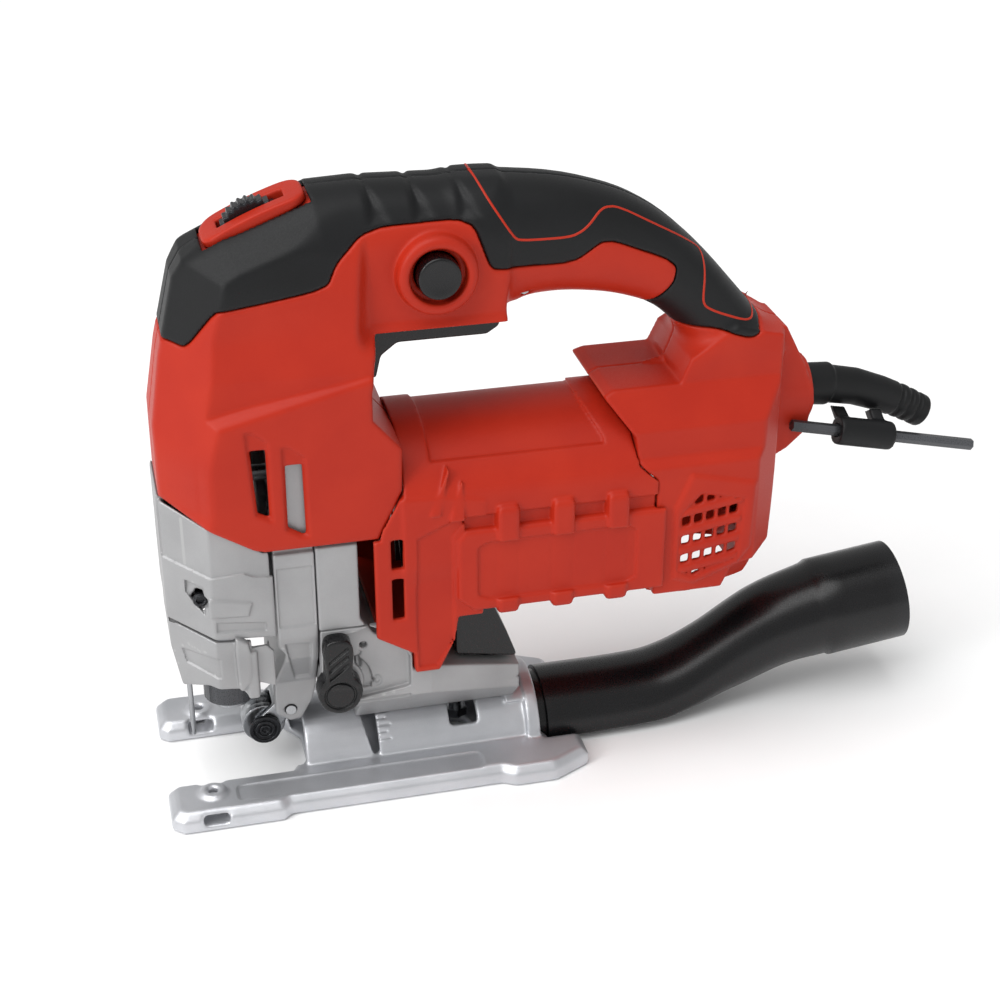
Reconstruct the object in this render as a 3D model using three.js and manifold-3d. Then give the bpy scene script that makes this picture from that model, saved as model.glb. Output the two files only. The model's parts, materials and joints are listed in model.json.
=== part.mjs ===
// Corded D-handle jigsaw, in millimetres. +Z is up, the sole of the base plate is at Z = 0, the saw cuts
// towards -X, the handle is above, and the tool's left side is -Y. The origin is on the sole, half way
// along the base plate and in the plane of the blade.
import * as THREE from 'three'
import { mergeVertices } from 'three/addons/utils/BufferGeometryUtils.js'
import Module from 'manifold-3d'

const wasm = await Module()
wasm.setup()

// Driving dimensions
const GAP = 0.3
const BASE_LENGTH = 165
const BASE_HALF_WIDTH = 42.3
const BASE_THICKNESS = 8
const SLOT_HALF_WIDTH = 19
const TILT_AXIS_Z = 4
const QUADRANT_RADIUS = 21
const QUADRANT_WALL = 2.6
const CASE_HALF_WIDTH = 31
const BODY_HALF_WIDTH = 33.5
const SHELL_WALL = 2.8
const GRIP_SKIN = 2
const MOTOR_Z = 112.5
const BARREL_RADIUS = 37.5
const BARREL_HALF_WIDTH = 34.5
const BARREL_BORE = 32.4
const SHAFT_RADIUS = 4
const FRONT_BEARING_RADIUS = 13
const REAR_BEARING_RADIUS = 11
const GEAR_MODULE = 1
const PINION_TEETH = 8
const GEAR_TEETH = 48
const GEAR_Z = MOTOR_Z + GEAR_MODULE * (PINION_TEETH + GEAR_TEETH) / 2
const STROKE = 24
const PLUNGER_X = -54
const PLUNGER_RADIUS = 5.5
const BUSH_RADIUS = 8.5
const CLAMP_RADIUS = 7.4
const YOKE_Z = GEAR_Z - STROKE / 2
const ROLLER_RADIUS = 8.5
const ROLLER_X = -42.4
const ROLLER_Z = 20
const FORK_X = -32.6
const FORK_Z = 32.5
const SELECTOR_X = -15.8
const SELECTOR_Z = 50
const CLAMP_X = 35.5
const SPIGOT_RADIUS = 20.5
const PIPE_WALL = 1.8
const KEY_ACROSS_FLATS = 4
const TRIGGER_HINGE = [9, 191]
const CORD_Z = 141.5
const BUTTON_X = 26.5
const BUTTON_Z = 209.5
const BUTTON_RADIUS = 7.75
const DIAL_X = -29.5
const DIAL_Z = 218.5
const DIAL_RADIUS = 12.5
const BEZEL_SLOPE = 0.39

const red = ['#c8452f', 0.5, 0]
const black = ['#1d1e20', 0.7, 0]
const cast = ['#b4b5b5', 0.45, 0.8]
const steel = ['#9a9c9e', 0.35, 0.9]
const dark = ['#3a3a3c', 0.5, 0.4]
const copper = ['#b06a3a', 0.4, 0.7]
const brass = ['#b8975a', 0.4, 0.8]
const carbon = ['#2b2b2b', 0.8, 0]

// A solid for booleans, from a closed three.js geometry.
const solid = (geometry) => {
  geometry.deleteAttribute('normal')
  geometry.deleteAttribute('uv')
  const merged = mergeVertices(geometry, 1e-4)
  const vertProperties = new Float32Array(merged.attributes.position.array)
  return new wasm.Manifold(new wasm.Mesh({
    numProp: 3, vertProperties, triVerts: new Uint32Array(merged.index.array),
  }))
}

const shapeOf = (points, holes = []) => {
  const shape = new THREE.Shape(points.map(([u, v]) => new THREE.Vector2(u, v)))
  for (const hole of holes) shape.holes.push(new THREE.Path(hole.map(([u, v]) => new THREE.Vector2(u, v))))
  return shape
}

const extrude = (points, depth, holes) =>
  new THREE.ExtrudeGeometry(shapeOf(points, holes), { depth, bevelEnabled: false, steps: 1 })

// An outline in X and Z, run along Y from y0 to y1.
const alongY = (points, y0, y1, holes) =>
  solid(extrude(points, y1 - y0, holes).rotateX(Math.PI / 2).translate(0, y1, 0))

// An outline in Y and Z, run along X from x0 to x1.
const turnToX = new THREE.Matrix4().makeBasis(
  new THREE.Vector3(0, 1, 0), new THREE.Vector3(0, 0, 1), new THREE.Vector3(1, 0, 0))
const alongX = (points, x0, x1, holes) =>
  solid(extrude(points, x1 - x0, holes).applyMatrix4(turnToX).translate(x0, 0, 0))

// An outline in X and Y, run along Z from z0 to z1.
const alongZ = (points, z0, z1, holes) => solid(extrude(points, z1 - z0, holes).translate(0, 0, z0))

// Straight bar of n sides between two points.
const bar = (r, from, to, n) => {
  const path = new THREE.LineCurve3(new THREE.Vector3(...from), new THREE.Vector3(...to))
  const ring = Array.from({ length: n }, (_, i) => {
    const a = 2 * Math.PI * i / n
    return [r * Math.cos(a), r * Math.sin(a)]
  })
  return solid(new THREE.ExtrudeGeometry(shapeOf(ring), { steps: 1, extrudePath: path, bevelEnabled: false }))
}

const box = (x0, x1, y0, y1, z0, z1) =>
  solid(new THREE.BoxGeometry(x1 - x0, y1 - y0, z1 - z0)
    .translate((x0 + x1) / 2, (y0 + y1) / 2, (z0 + z1) / 2))

// Round bars along each axis, centred on the two other coordinates.
const barX = (r, x0, x1, y, z, n = 20) => solid(new THREE.CylinderGeometry(r, r, x1 - x0, n)
  .rotateZ(Math.PI / 2).translate((x0 + x1) / 2, y, z))
const barY = (r, y0, y1, x, z, n = 20) => solid(new THREE.CylinderGeometry(r, r, y1 - y0, n)
  .translate(x, (y0 + y1) / 2, z))
const barZ = (r, z0, z1, x, y, n = 20) => solid(new THREE.CylinderGeometry(r, r, z1 - z0, n)
  .rotateX(Math.PI / 2).translate(x, y, (z0 + z1) / 2))

const join = (...solids) => solids.reduce((a, b) => a.add(b))
const cut = (body, ...tools) => tools.reduce((a, b) => a.subtract(b), body)
const mirrorY = (points) => [...points, ...points.map(([y, z]) => [-y, z]).reverse()]
const mirrorPlan = (points) => [...points, ...points.map(([x, y]) => [x, -y]).reverse()]

// The outline moved inwards by d along each edge's normal (outwards when d is negative).
const inset = (points, d) => {
  const area = points.reduce((sum, [u, v], i) => {
    const [p, q] = points[(i + 1) % points.length]
    return sum + u * q - p * v
  }, 0)
  const side = Math.sign(area)
  const normals = points.map(([u, v], i) => {
    const [p, q] = points[(i + 1) % points.length]
    const length = Math.hypot(p - u, q - v)
    return [-(q - v) / length * side, (p - u) / length * side]
  })
  return points.map(([u, v], i) => {
    const [a, b] = normals[(i + points.length - 1) % points.length]
    const [c, e] = normals[i]
    const k = d / (1 + a * c + b * e)
    return [u + (a + c) * k, v + (b + e) * k]
  })
}

// A closed body through rings that all have the same number of points.
const loft = (rings) => {
  const n = rings[0].length
  const points = rings.flat()
  const centre = (ring) => ring.reduce((sum, p) => sum.add(p), new THREE.Vector3()).divideScalar(n)
  points.push(centre(rings[0]), centre(rings.at(-1)))
  const index = []
  for (let r = 0; r + 1 < rings.length; r++) {
    for (let i = 0; i < n; i++) {
      const a = r * n + i
      const b = r * n + (i + 1) % n
      index.push(a, b, b + n, a, b + n, a + n)
    }
  }
  const last = (rings.length - 1) * n
  for (let i = 0; i < n; i++) {
    index.push(points.length - 2, (i + 1) % n, i)
    index.push(points.length - 1, last + i, last + (i + 1) % n)
  }
  const geometry = new THREE.BufferGeometry()
  geometry.setAttribute('position', new THREE.Float32BufferAttribute(points.flatMap((p) => p.toArray()), 3))
  geometry.setIndex(index)
  const made = solid(geometry)
  return made.volume() > 0 ? made : solid(flipped(geometry))
}

const flipped = (geometry) => {
  const index = Array.from(geometry.index.array)
  for (let i = 0; i < index.length; i += 3) [index[i], index[i + 1]] = [index[i + 1], index[i]]
  return geometry.setIndex(index)
}

const object = new THREE.Group()
const piece = (name, made, [color, roughness, metalness]) => {
  const { vertProperties, triVerts } = made.getMesh()
  const geometry = new THREE.BufferGeometry()
  geometry.setAttribute('position', new THREE.BufferAttribute(vertProperties, 3))
  geometry.setIndex(new THREE.BufferAttribute(triVerts, 1))
  geometry.computeVertexNormals()
  const mesh = new THREE.Mesh(geometry, new THREE.MeshStandardMaterial({ color, roughness, metalness }))
  mesh.name = name
  object.add(mesh)
}

// ---- Body: head, grip and rear, each as the full outside at a given depth below the skin ----

const HEAD = [
  [1.5, 112.5], [-40, 112.5], [-57, 123.5], [-75, 131], [-74.5, 158], [-70, 183], [-63.5, 211],
  [-46.6, 224.5], [-10.4, 238], [46, 237.5], [46, 190], [4, 189], [1, 170], [1, 160], [11, 148],
  [10.7, 131.7],
]
const HEAD_PLAN = mirrorPlan([[-75, -16], [-59, -31], [-50, -BODY_HALF_WIDTH], [60, -BODY_HALF_WIDTH]])
const HEAD_SECTION = mirrorY([
  [BODY_HALF_WIDTH, 100], [BODY_HALF_WIDTH, 178], [25.5, 206], [22, 226], [10, 240],
])
const REAR = [
  [106.6, 74.5], [134, 74.5], [138, 83], [156, 88], [158, 116], [166, 120], [174, 127], [175, 138],
  [172, 153], [162.5, 171.5], [140, 176], [122, 166], [118, 157], [92, 157], [88, 155], [98.6, 141],
  [99.8, 130.6], [106.6, 124.2],
]
const REAR_PLAN = [
  [80, -34], [146, -34], [157, -23], [161, -12.6], [176, -11.8],
  [176, 11.8], [161, 12.6], [157, 23], [146, 34], [80, 34],
]
const REAR_SECTION = mirrorY([[34, 70], [34, 128], [20, 156], [20, 180]])

// Grip stations: top and bottom point of the grip in X and Z, and its half width.
const GRIP = [
  [[40, 237.3], [40, 190.5], 22],
  [[60, 236], [60, 191.5], 20.5],
  [[78, 233], [76, 192], 20],
  [[99, 226], [92, 189.5], 19.5],
  [[118, 214.5], [106, 184], 19],
  [[137, 195], [117, 175], 19],
  [[152, 177], [122, 166], 20],
  [[163, 162], [121, 157.5], 21],
]
const GRIP_SIDES = 16

const gripBody = (depth) => loft(GRIP.map(([[tx, tz], [bx, bz], halfWidth]) => {
  const centre = new THREE.Vector3((tx + bx) / 2, 0, (tz + bz) / 2)
  const up = new THREE.Vector3(tx - bx, 0, tz - bz).multiplyScalar(0.5)
  const tall = up.length()
  up.normalize()
  return Array.from({ length: GRIP_SIDES }, (_, i) => {
    const a = 2 * Math.PI * i / GRIP_SIDES
    const round = (v) => Math.sign(v) * Math.abs(v) ** 0.8
    return centre.clone().addScaledVector(up, round(Math.cos(a)) * (tall - depth))
      .add(new THREE.Vector3(0, round(Math.sin(a)) * (halfWidth - depth), 0))
  })
}))

const headBody = (depth) => alongY(inset(HEAD, depth), -40, 40)
  .intersect(alongZ(inset(HEAD_PLAN, depth), 50, 260))
  .intersect(alongX(inset(HEAD_SECTION, depth), -90, 70))

const rearBody = (depth) => alongY(inset(REAR, depth), -40, 40)
  .intersect(alongZ(inset(REAR_PLAN, depth), 60, 200))
  .intersect(alongX(inset(REAR_SECTION, depth), 70, 180))

const outside = (depth) => join(headBody(depth), gripBody(depth), rearBody(depth))

// Soft grip skin: over the top of the head and down the back of the handle.
const SKIN = [
  [-90, 190], [-60, 188], [-50, 203], [-12, 208], [-8, 217], [0, 225], [40, 226.5], [46, 208.5], [76, 207.5],
  [88, 215.3], [111, 205.5], [115.5, 201.5], [114, 195.5], [104, 180], [119.5, 176.7], [131, 176.9],
  [145.6, 171.8], [152.4, 177], [175, 190], [175, 260], [-90, 260],
]
const BEZEL_HALF = [20, 11]
const bezelBlock = (grow, z0, z1) => solid(
  new THREE.BoxGeometry(2 * (BEZEL_HALF[0] + grow), 2 * (BEZEL_HALF[1] + grow), z1 - z0)
    .translate(0, 0, (z0 + z1) / 2).rotateY(-BEZEL_SLOPE).translate(DIAL_X, 0, DIAL_Z))
const bezelPocket = bezelBlock(GAP, 9 - GAP, 40)
const dialAxis = [DIAL_X - 3.4, DIAL_Z + 3.6]
const dialRoom = barY(DIAL_RADIUS + 0.8, -3.7, 3.7, ...dialAxis)
const dialSlot = solid(new THREE.BoxGeometry(25, 7.4, 40).rotateY(-BEZEL_SLOPE).translate(DIAL_X, 0, DIAL_Z))

const skin = cut(outside(0), outside(GRIP_SKIN)).intersect(alongY(SKIN, -40, 40)).subtract(bezelPocket)
const skinRoom = cut(outside(-1), outside(GRIP_SKIN + GAP)).intersect(alongY(inset(SKIN, -GAP), -40, 40))

// Inner room: thin walls low down, a thicker wall under the soft skin.
const lowRoom = headBody(SHELL_WALL).intersect(box(-90, 60, -40, 40, 90, 184))
  .add(rearBody(SHELL_WALL))
const highRoom = join(headBody(GRIP_SKIN + GAP + 2.2), gripBody(GRIP_SKIN + GAP + 2.2))
const caseMouth = alongY([[-71, 100], [-71, 134], [-56, 127], [-40, 118], [-1, 118], [6, 130], [8, 146],
  [14, 146], [14, 100]], -30.5, 30.5)
const barrelMouth = barX(BARREL_BORE, 90, 110, 0, MOTOR_Z)
const triggerMouth = box(3, 57, -9.6, 9.6, 178, 200)
const cordMouth = barX(8.1 + GAP, 160, 190, 0, CORD_Z, 24)
const pinRoom = barY(2 + GAP, -13.3, 13.3, ...TRIGGER_HINGE, 16)
const frontVents = [-39.8, -27.8].map((x) => alongY(
  [[x - 3, 129 - (x + 39.8) / 2], [x + 3, 126 - (x + 39.8) / 2], [x + 3, 154 - (x + 39.8) / 2],
    [x - 3, 157 - (x + 39.8) / 2]], -40, 40))
const rearVents = []
for (let row = 0; row < 4; row++) {
  for (let column = 0; column < 5; column++) {
    const x = 118 + column * 5
    const z = 89 + row * 5.2
    rearVents.push(box(x, x + 3.2, -40, 40, z, z + 3.2))
  }
}
const buttonBoss = barY(14.5, -27.6, -18, BUTTON_X, BUTTON_Z, 24)
const buttonHole = barY(BUTTON_RADIUS + GAP, -40, -14, BUTTON_X, BUTTON_Z)
const screwPlaces = [[-66.5, 148], [0.5, 152], [60, 197], [135, 166], [149, 108]]
const screwRoom = screwPlaces.map(([x, z]) => barY(2.2, -15, 40, x, z, 8)
  .add(barY(4.4, 12, 40, x, z, 12)))
const screwPost = screwPlaces.map(([x, z]) => barY(5.5, -34, 34, x, z, 10).intersect(outside(1)))

const shells = join(cut(outside(0), skinRoom, lowRoom, highRoom), ...screwPost, buttonBoss)
const shellsOpen = cut(shells, caseMouth, barrelMouth, triggerMouth, cordMouth, pinRoom, bezelPocket,
  dialSlot, dialRoom, buttonHole, ...frontVents, ...rearVents, ...screwRoom)
const leftHalf = box(-100, 200, -50, -GAP / 2, 0, 300)
const rightHalf = box(-100, 200, GAP / 2, 50, 0, 300)

piece('left_shell', shellsOpen.intersect(leftHalf), red)
piece('right_shell', shellsOpen.intersect(rightHalf), red)
const skinClear = cut(skin, barY(14.5 + GAP, -40, -15, BUTTON_X, BUTTON_Z), ...screwRoom)
piece('left_overmould', skinClear.intersect(leftHalf), black)
piece('right_overmould', skinClear.intersect(rightHalf), black)

// ---- Controls in the head and the handle ----

const bezelBody = bezelBlock(0, 9, 19).intersect(alongY([[-60, 215], [-48, 226.3], [-46, 228.6], [-16, 240.6],
  [-12, 240], [-8, 236], [-8, 215]], -12, 12))
piece('dial_bezel', cut(bezelBody, dialSlot, dialRoom), red)

const dialRim = Array.from({ length: 36 }, (_, i) => {
  const a = 2 * Math.PI * i / 36
  const r = DIAL_RADIUS - (i % 2 ? 0.9 : 0)
  return [dialAxis[0] + r * Math.cos(a), dialAxis[1] + r * Math.sin(a)]
})
piece('speed_dial', cut(alongY(dialRim, -3.3, 3.3), barY(2.3, -5, 5, ...dialAxis, 16)), dark)
piece('speed_control_module', join(box(-45, -14, -9, 9, 199, 205.5), barY(2, -9, 9, ...dialAxis, 16),
  ...[-1, 1].map((side) => box(dialAxis[0] - 1.9, dialAxis[0] + 1.9, side * 6.4 - 2,
    side * 6.4 + 2, 204, dialAxis[1] + 1.4))), dark)

piece('trigger_switch', join(box(12, 50, -10.5, 10.5, 199, 219), box(6, 12.5, -6, 6, 200, 214)), dark)
const [hingeX, hingeZ] = TRIGGER_HINGE
const TRIGGER = [
  [5.2, 196], [5.2, 183], [4.2, 166], [6.5, 165.4], [8.5, 174], [14.5, 178.6], [47.5, 178.6], [52, 181.5],
  [53.4, 186.5], [53.4, 189.5], [14, 190.5], [13, 196],
]
piece('trigger', cut(alongY(TRIGGER, -9, 9), barY(2 + GAP, -12, 12, hingeX, hingeZ, 16)), black)
piece('trigger_pin', barY(2, -13, 13, hingeX, hingeZ, 16), steel)
piece('lock_button', join(barY(BUTTON_RADIUS, -29.2, -19.5, BUTTON_X, BUTTON_Z),
  barY(4, -19.5, -15, BUTTON_X, BUTTON_Z, 20)), black)

// ---- Motor ----

const flatSides = box(-60, 200, -BARREL_HALF_WIDTH, BARREL_HALF_WIDTH, 40, 200)
const HOUSING_NOSE = [
  [11, 124], [40, 124], [40, 76], [30.5, 76], [29, 66], [23, 53.6], [13.6, 53.6], [13.4, 62], [-0.7, 70.8],
  [-0.7, 111.9], [1.7, 111.9],
]
const raisedPad = (side) => alongY([[30, 112], [33, 116.5], [104.5, 116.5], [104.5, 79], [36, 79], [30, 84]],
  side > 0 ? 33 : -36, side > 0 ? 36 : -33)
const lugs = [49, 70, 90].flatMap((x) => [-1, 1].map((side) => box(x - 3.5, x + 3.5,
  side > 0 ? 33 : -36, side > 0 ? 36 : -33, 76.5, 120.5)))
const namePlate = [-1, 1].map((side) => box(37.8, 98.8,
  side > 0 ? 35.4 : -37, side > 0 ? 37 : -35.4, 83.4, 107.8))
const fanVents = [[78, 95.5], [99.5, 112]].map(([z0, z1]) => box(5.5, 9.8, -50, 50, z0, z1))
const noseRoomSide = [[-5, 72.5], [13, 66], [25, 66], [28, 79], [40, 79], [40, 118], [-5, 118]]
const noseRoom = alongY(noseRoomSide, -31.4, 31.4)
const barrel = barX(BARREL_RADIUS, 11, 108, 0, MOTOR_Z, 40).intersect(flatSides)
const bearingWall = cut(barX(BARREL_BORE + 0.5, 89.5, 99.4, 0, MOTOR_Z, 40),
  barX(REAR_BEARING_RADIUS + GAP, 85, 110, 0, MOTOR_Z),
  ...[0, 1, 2, 3].map((k) => solid(new THREE.BoxGeometry(20, 14, 11).translate(94, 0, 22)
    .rotateX(Math.PI / 4 + k * Math.PI / 2).translate(0, 0, MOTOR_Z))))
const housingOutside = cut(join(barrel, alongY(HOUSING_NOSE, -34, 34), raisedPad(-1), raisedPad(1), ...lugs),
  ...namePlate, ...fanVents)
const shellsGrown = join(headBody(-GAP), rearBody(-GAP))
piece('motor_housing', cut(join(cut(housingOutside, barX(BARREL_BORE, 5, 120, 0, MOTOR_Z, 40), noseRoom),
  bearingWall), shellsGrown), red)

const coilRoom = [1, -1].map((side) => {
  const arc = Array.from({ length: 9 }, (_, i) => side * Math.PI * (0.2 + 0.6 * i / 8))
  const at = (r, a) => [r * Math.cos(a), MOTOR_Z + r * Math.sin(a)]
  return (grow) => [...arc.map((a) => at(25.6 - grow, a)), ...arc.map((a) => at(29.4 + grow, a)).reverse()]
})
piece('stator_core', cut(barX(32, 34, 74, 0, MOTOR_Z, 36), barX(23.8, 30, 80, 0, MOTOR_Z, 36),
  ...coilRoom.map((room) => alongX(room(GAP), 30, 80))), steel)
coilRoom.forEach((room, i) => {
  piece(i ? 'lower_field_coil' : 'upper_field_coil', alongX(room(0), 29.5, 78), copper)
})

piece('front_armature_bearing', cut(barX(FRONT_BEARING_RADIUS, -14.5, -5.5, 0, MOTOR_Z),
  barX(SHAFT_RADIUS + GAP, -20, 0, 0, MOTOR_Z)), steel)
piece('rear_armature_bearing', cut(barX(REAR_BEARING_RADIUS, 91, 98.5, 0, MOTOR_Z),
  barX(SHAFT_RADIUS + GAP, 80, 110, 0, MOTOR_Z)), steel)
for (const [name, side] of [['left', -1], ['right', 1]]) {
  const span = (a, b) => side > 0 ? [a, b] : [-b, -a]
  const holder = cut(box(78.6, 89, ...span(15, 31.4), MOTOR_Z - 6, MOTOR_Z + 6),
    box(80.2, 87.4, ...span(10, 29), MOTOR_Z - 4, MOTOR_Z + 4), box(82, 85, ...span(28, 34), MOTOR_Z - 1.5,
      MOTOR_Z + 1.5))
  piece(`${name}_brush_holder`, holder, brass)
  piece(`${name}_carbon_brush`, box(80.6, 87, ...span(12.2, 24), MOTOR_Z - 3.6, MOTOR_Z + 3.6), carbon)
}

// Teeth as a saw line between tip and root; turn is in teeth.
const gearOutline = (teeth, y, z, turn = 0) => Array.from({ length: teeth * 2 }, (_, i) => {
  const a = Math.PI * (i + 2 * turn) / teeth - Math.PI / 2
  const r = GEAR_MODULE * (teeth / 2 + (i % 2 ? -1.05 : 0.75))
  return [y + r * Math.cos(a), z + r * Math.sin(a)]
})
piece('armature_shaft', join(barX(4, -24.5, 98, 0, MOTOR_Z, 24).intersect(box(-30, 100, -9, 9, 100, 125)),
  alongX(gearOutline(PINION_TEETH, 0, MOTOR_Z, 0.5), -35, -24.4)), steel)
const core = Array.from({ length: 36 }, (_, i) => {
  const a = 2 * Math.PI * i / 36
  const r = i % 3 ? 23.2 : 21.4
  return [r * Math.cos(a), MOTOR_Z + r * Math.sin(a)]
})
const shaftHole = (x0, x1) => barX(SHAFT_RADIUS + GAP, x0, x1, 0, MOTOR_Z, 24)
piece('armature_core', cut(alongX(core, 34, 74), shaftHole(30, 80)), steel)
piece('commutator', cut(barX(11.8, 77, 89, 0, MOTOR_Z, 36), shaftHole(70, 95)), copper)
const fanBlades = Array.from({ length: 12 }, (_, i) => solid(new THREE.BoxGeometry(10.2, 1.6, 20)
  .translate(18, 0, 18.5).rotateX(2 * Math.PI * i / 12).translate(0, 0, MOTOR_Z)))
piece('cooling_fan', cut(join(barX(29, 22.5, 25, 0, MOTOR_Z, 36), barX(9, 13, 25, 0, MOTOR_Z, 24),
  ...fanBlades),
  shaftHole(5, 30)), black)

// ---- Gear train: gear on a fixed axle, crank pin, and the plunger with its yoke ----

const gearDisc = alongX(gearOutline(GEAR_TEETH, 0, GEAR_Z), -34.5, -26)
piece('drive_gear', cut(gearDisc, barX(4 + GAP, -40, -20, 0, GEAR_Z, 24),
  barX(3 + GAP, -40, -20, 0, GEAR_Z - STROKE / 2, 20)), steel)
piece('crank_pin', barX(3, -42.2, -26.5, 0, GEAR_Z - STROKE / 2, 20), steel)
piece('gear_axle', barX(4, -35.5, -8, 0, GEAR_Z, 24), steel)

const yoke = cut(box(-47.6, -42.5, -19, 19, YOKE_Z - 7, YOKE_Z + 7), box(-46.4, -42, -16, 16, YOKE_Z - 3.3,
  YOKE_Z + 3.3))
piece('plunger', join(barZ(PLUNGER_RADIUS, 50.3, 178, PLUNGER_X, 0, 28), yoke,
  box(-54, -47, -6, 6, YOKE_Z - 7, YOKE_Z + 7)), steel)
piece('blade_clamp', cut(barZ(CLAMP_RADIUS, 31, 50, PLUNGER_X, 0, 28),
  box(-70, -40, -0.9, 0.9, 28, 46)), steel)
piece('clamp_sleeve', cut(barZ(10.3, 34, 46, PLUNGER_X, 0, 32),
  barZ(CLAMP_RADIUS + GAP, 30, 50, PLUNGER_X, 0, 28)), black)

const bushZ = [[80, 95], [163.5, 173]]
bushZ.forEach(([z0, z1], i) => piece(i ? 'upper_plunger_bush' : 'lower_plunger_bush',
  cut(barZ(BUSH_RADIUS, z0, z1, PLUNGER_X, 0, 28),
    barZ(PLUNGER_RADIUS + GAP, z0 - 5, z1 + 5, PLUNGER_X, 0, 28)), brass))

// ---- Castings ----

const roundEnd = (x, z, r, from, to, n) => Array.from({ length: n + 1 }, (_, i) => {
  const a = from + (to - from) * i / n
  return [x + r * Math.cos(a), z + r * Math.sin(a)]
})
const chamber = [...roundEnd(0, GEAR_Z, 26.6, Math.PI, 0, 16), [26.6, 128],
  ...roundEnd(0, MOTOR_Z, 12, 0, -Math.PI, 10), [-26.6, 128]]
const plateLow = alongY([[-37.2, 75.7], [-37.2, 110], [-22.2, 110], [-22.2, 44], [-24, 36], [-28.5, 27.5],
  [-33, 26.8], [-38.2, 31], [-38.2, 46], [-34.6, 66], [-37.2, 70]], -CASE_HALF_WIDTH, CASE_HALF_WIDTH)
const legSides = alongX(mirrorY([[15.5, 26], [17, 46], [28, 62], [31, 74], [31, 120]]), -45, -20)
const plateHigh = box(-37.2, -22.2, -29.3, 29.3, 108, 170)
const bushArms = bushZ.map(([z0, z1]) => box(-63, -36.5, -10, 10, z0, z1))
const leverEar = box(-45, -37, 22, 28.2, 76, 79.6)
const forkSlot = box(-45, -15, -8, 8, 20, 50)
piece('front_bearing_plate', cut(join(plateLow.intersect(legSides), plateHigh, leverEar, ...bushArms),
  alongX(chamber, -38, -25.2).intersect(box(-37.3, -20, -40, 40, 60, 200)), barX(6, -40, -20, 0, MOTOR_Z),
  barX(4 + GAP, -40, -20, 0, GEAR_Z), forkSlot, barY(2 + GAP, -30, 30, FORK_X, FORK_Z, 16),
  barZ(1.6 + GAP, 70, 90, -41.8, 25.8, 16),
  barZ(BUSH_RADIUS + GAP, 70, 200, PLUNGER_X, 0, 28), box(-44, -37.2, -26, 26, 100, 170)), cast)
piece('fork_pin', barY(2, -16.5, 16.5, FORK_X, FORK_Z, 16), steel)

const FORK = [[-28.6, 28.5], [-28.6, 46], [-35, 46], [-37, 31], [-46, 22.5], [-46, 16.5], [-39, 15.5]]
piece('roller_fork', cut(alongY(FORK, -7.5, 7.5), barY(2 + GAP, -10, 10, FORK_X, FORK_Z, 16),
  barY(2 + GAP, -10, 10, ROLLER_X, ROLLER_Z, 16),
  barY(ROLLER_RADIUS + 0.9, -5.3, 5.3, ROLLER_X, ROLLER_Z, 32),
  box(-60, -42, -5.3, 5.3, 5, 40)), steel)
const rollerProfile = [[2.3, -5], [ROLLER_RADIUS, -5], [ROLLER_RADIUS, -2.2], [6.6, -0.7], [6.6, 0.7],
  [ROLLER_RADIUS, 2.2], [ROLLER_RADIUS, 5], [2.3, 5], [2.3, -5]]
const rollerPoints = rollerProfile.map(([r, y]) => new THREE.Vector2(r, y))
piece('guide_roller', solid(new THREE.LatheGeometry(rollerPoints, 20)
  .translate(ROLLER_X, 0, ROLLER_Z)), steel)
piece('roller_pin', join(barY(2, -8.6, 8.6, ROLLER_X, ROLLER_Z, 16),
  barY(3.6, -9.8, -7.8, ROLLER_X, ROLLER_Z, 20)), dark)

const GEAR_CASE = [
  [-21.9, 44], [-8, 36], [25, 36], [57, 38], [57, 43.5], [24, 53], [13.2, 53], [13.2, 61.5], [-1, 70.5],
  [-6.3, 79], [-6.3, 170], [-21.9, 170],
]
const caseSides = alongX(mirrorY([[25.4, 36.2], [31, 41.8], [31, 111], [29.3, 111], [29.3, 175]]), -30, 60)
const saddleArc = roundEnd(0, TILT_AXIS_Z, QUADRANT_RADIUS + GAP, Math.PI * 0.32, Math.PI * 0.68, 8)
const saddle = alongX([[26.2, 37], ...saddleArc, [-26.2, 37]], -7, 57)
const selectorFace = box(-23, 12, -40, -28.5, 40, 75.5)
const footTaper = alongZ([[-22, -31], [20, -31], [57, -22], [57, 22], [20, 31], [-22, 31]], 20, 180)
const caseRoom = join(box(-22, -8, -26, 26, 56, 96), box(-22, -16.5, -9, 9, 43, 57),
  box(-22, -14, -25, 25, 128, 165))
const outletRoom = box(-9, 45, -18, 18, 40.5, 49)
piece('gear_case', cut(join(alongY(GEAR_CASE, -31, 31).intersect(caseSides), saddle).intersect(footTaper),
  caseRoom, outletRoom, barX(FRONT_BEARING_RADIUS + GAP, -14.8, 0, 0, MOTOR_Z), barX(6, -30, 0, 0, MOTOR_Z),
  barX(4 + GAP, -30, -7.7, 0, GEAR_Z), selectorFace, barY(4 + GAP, -40, 12, SELECTOR_X, SELECTOR_Z, 20),
  barZ(2.5 + GAP, 0, 34, CLAMP_X, 0, 16)), cast)
piece('orbit_cam_shaft', barY(4, -28.2, 11, SELECTOR_X, SELECTOR_Z, 20), steel)

const leverHandle = [...roundEnd(SELECTOR_X, SELECTOR_Z, 9, Math.PI * 1.15, Math.PI * 1.85, 10),
  [SELECTOR_X + 6.2, SELECTOR_Z + 20], [SELECTOR_X + 4.5, SELECTOR_Z + 24],
  [SELECTOR_X - 3, SELECTOR_Z + 24], [SELECTOR_X - 5.6, SELECTOR_Z + 20]]
piece('orbit_selector', alongY(leverHandle, -37.5, -28.6), black)

piece('base_clamp_screw', join(barZ(2.5, 13, 33.6, CLAMP_X, 0, 16), barZ(5, 9.5, 13.2, CLAMP_X, 0, 6)), steel)

// ---- Nose: cover, its screws, finger guard and the lever that frees the blade ----

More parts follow.
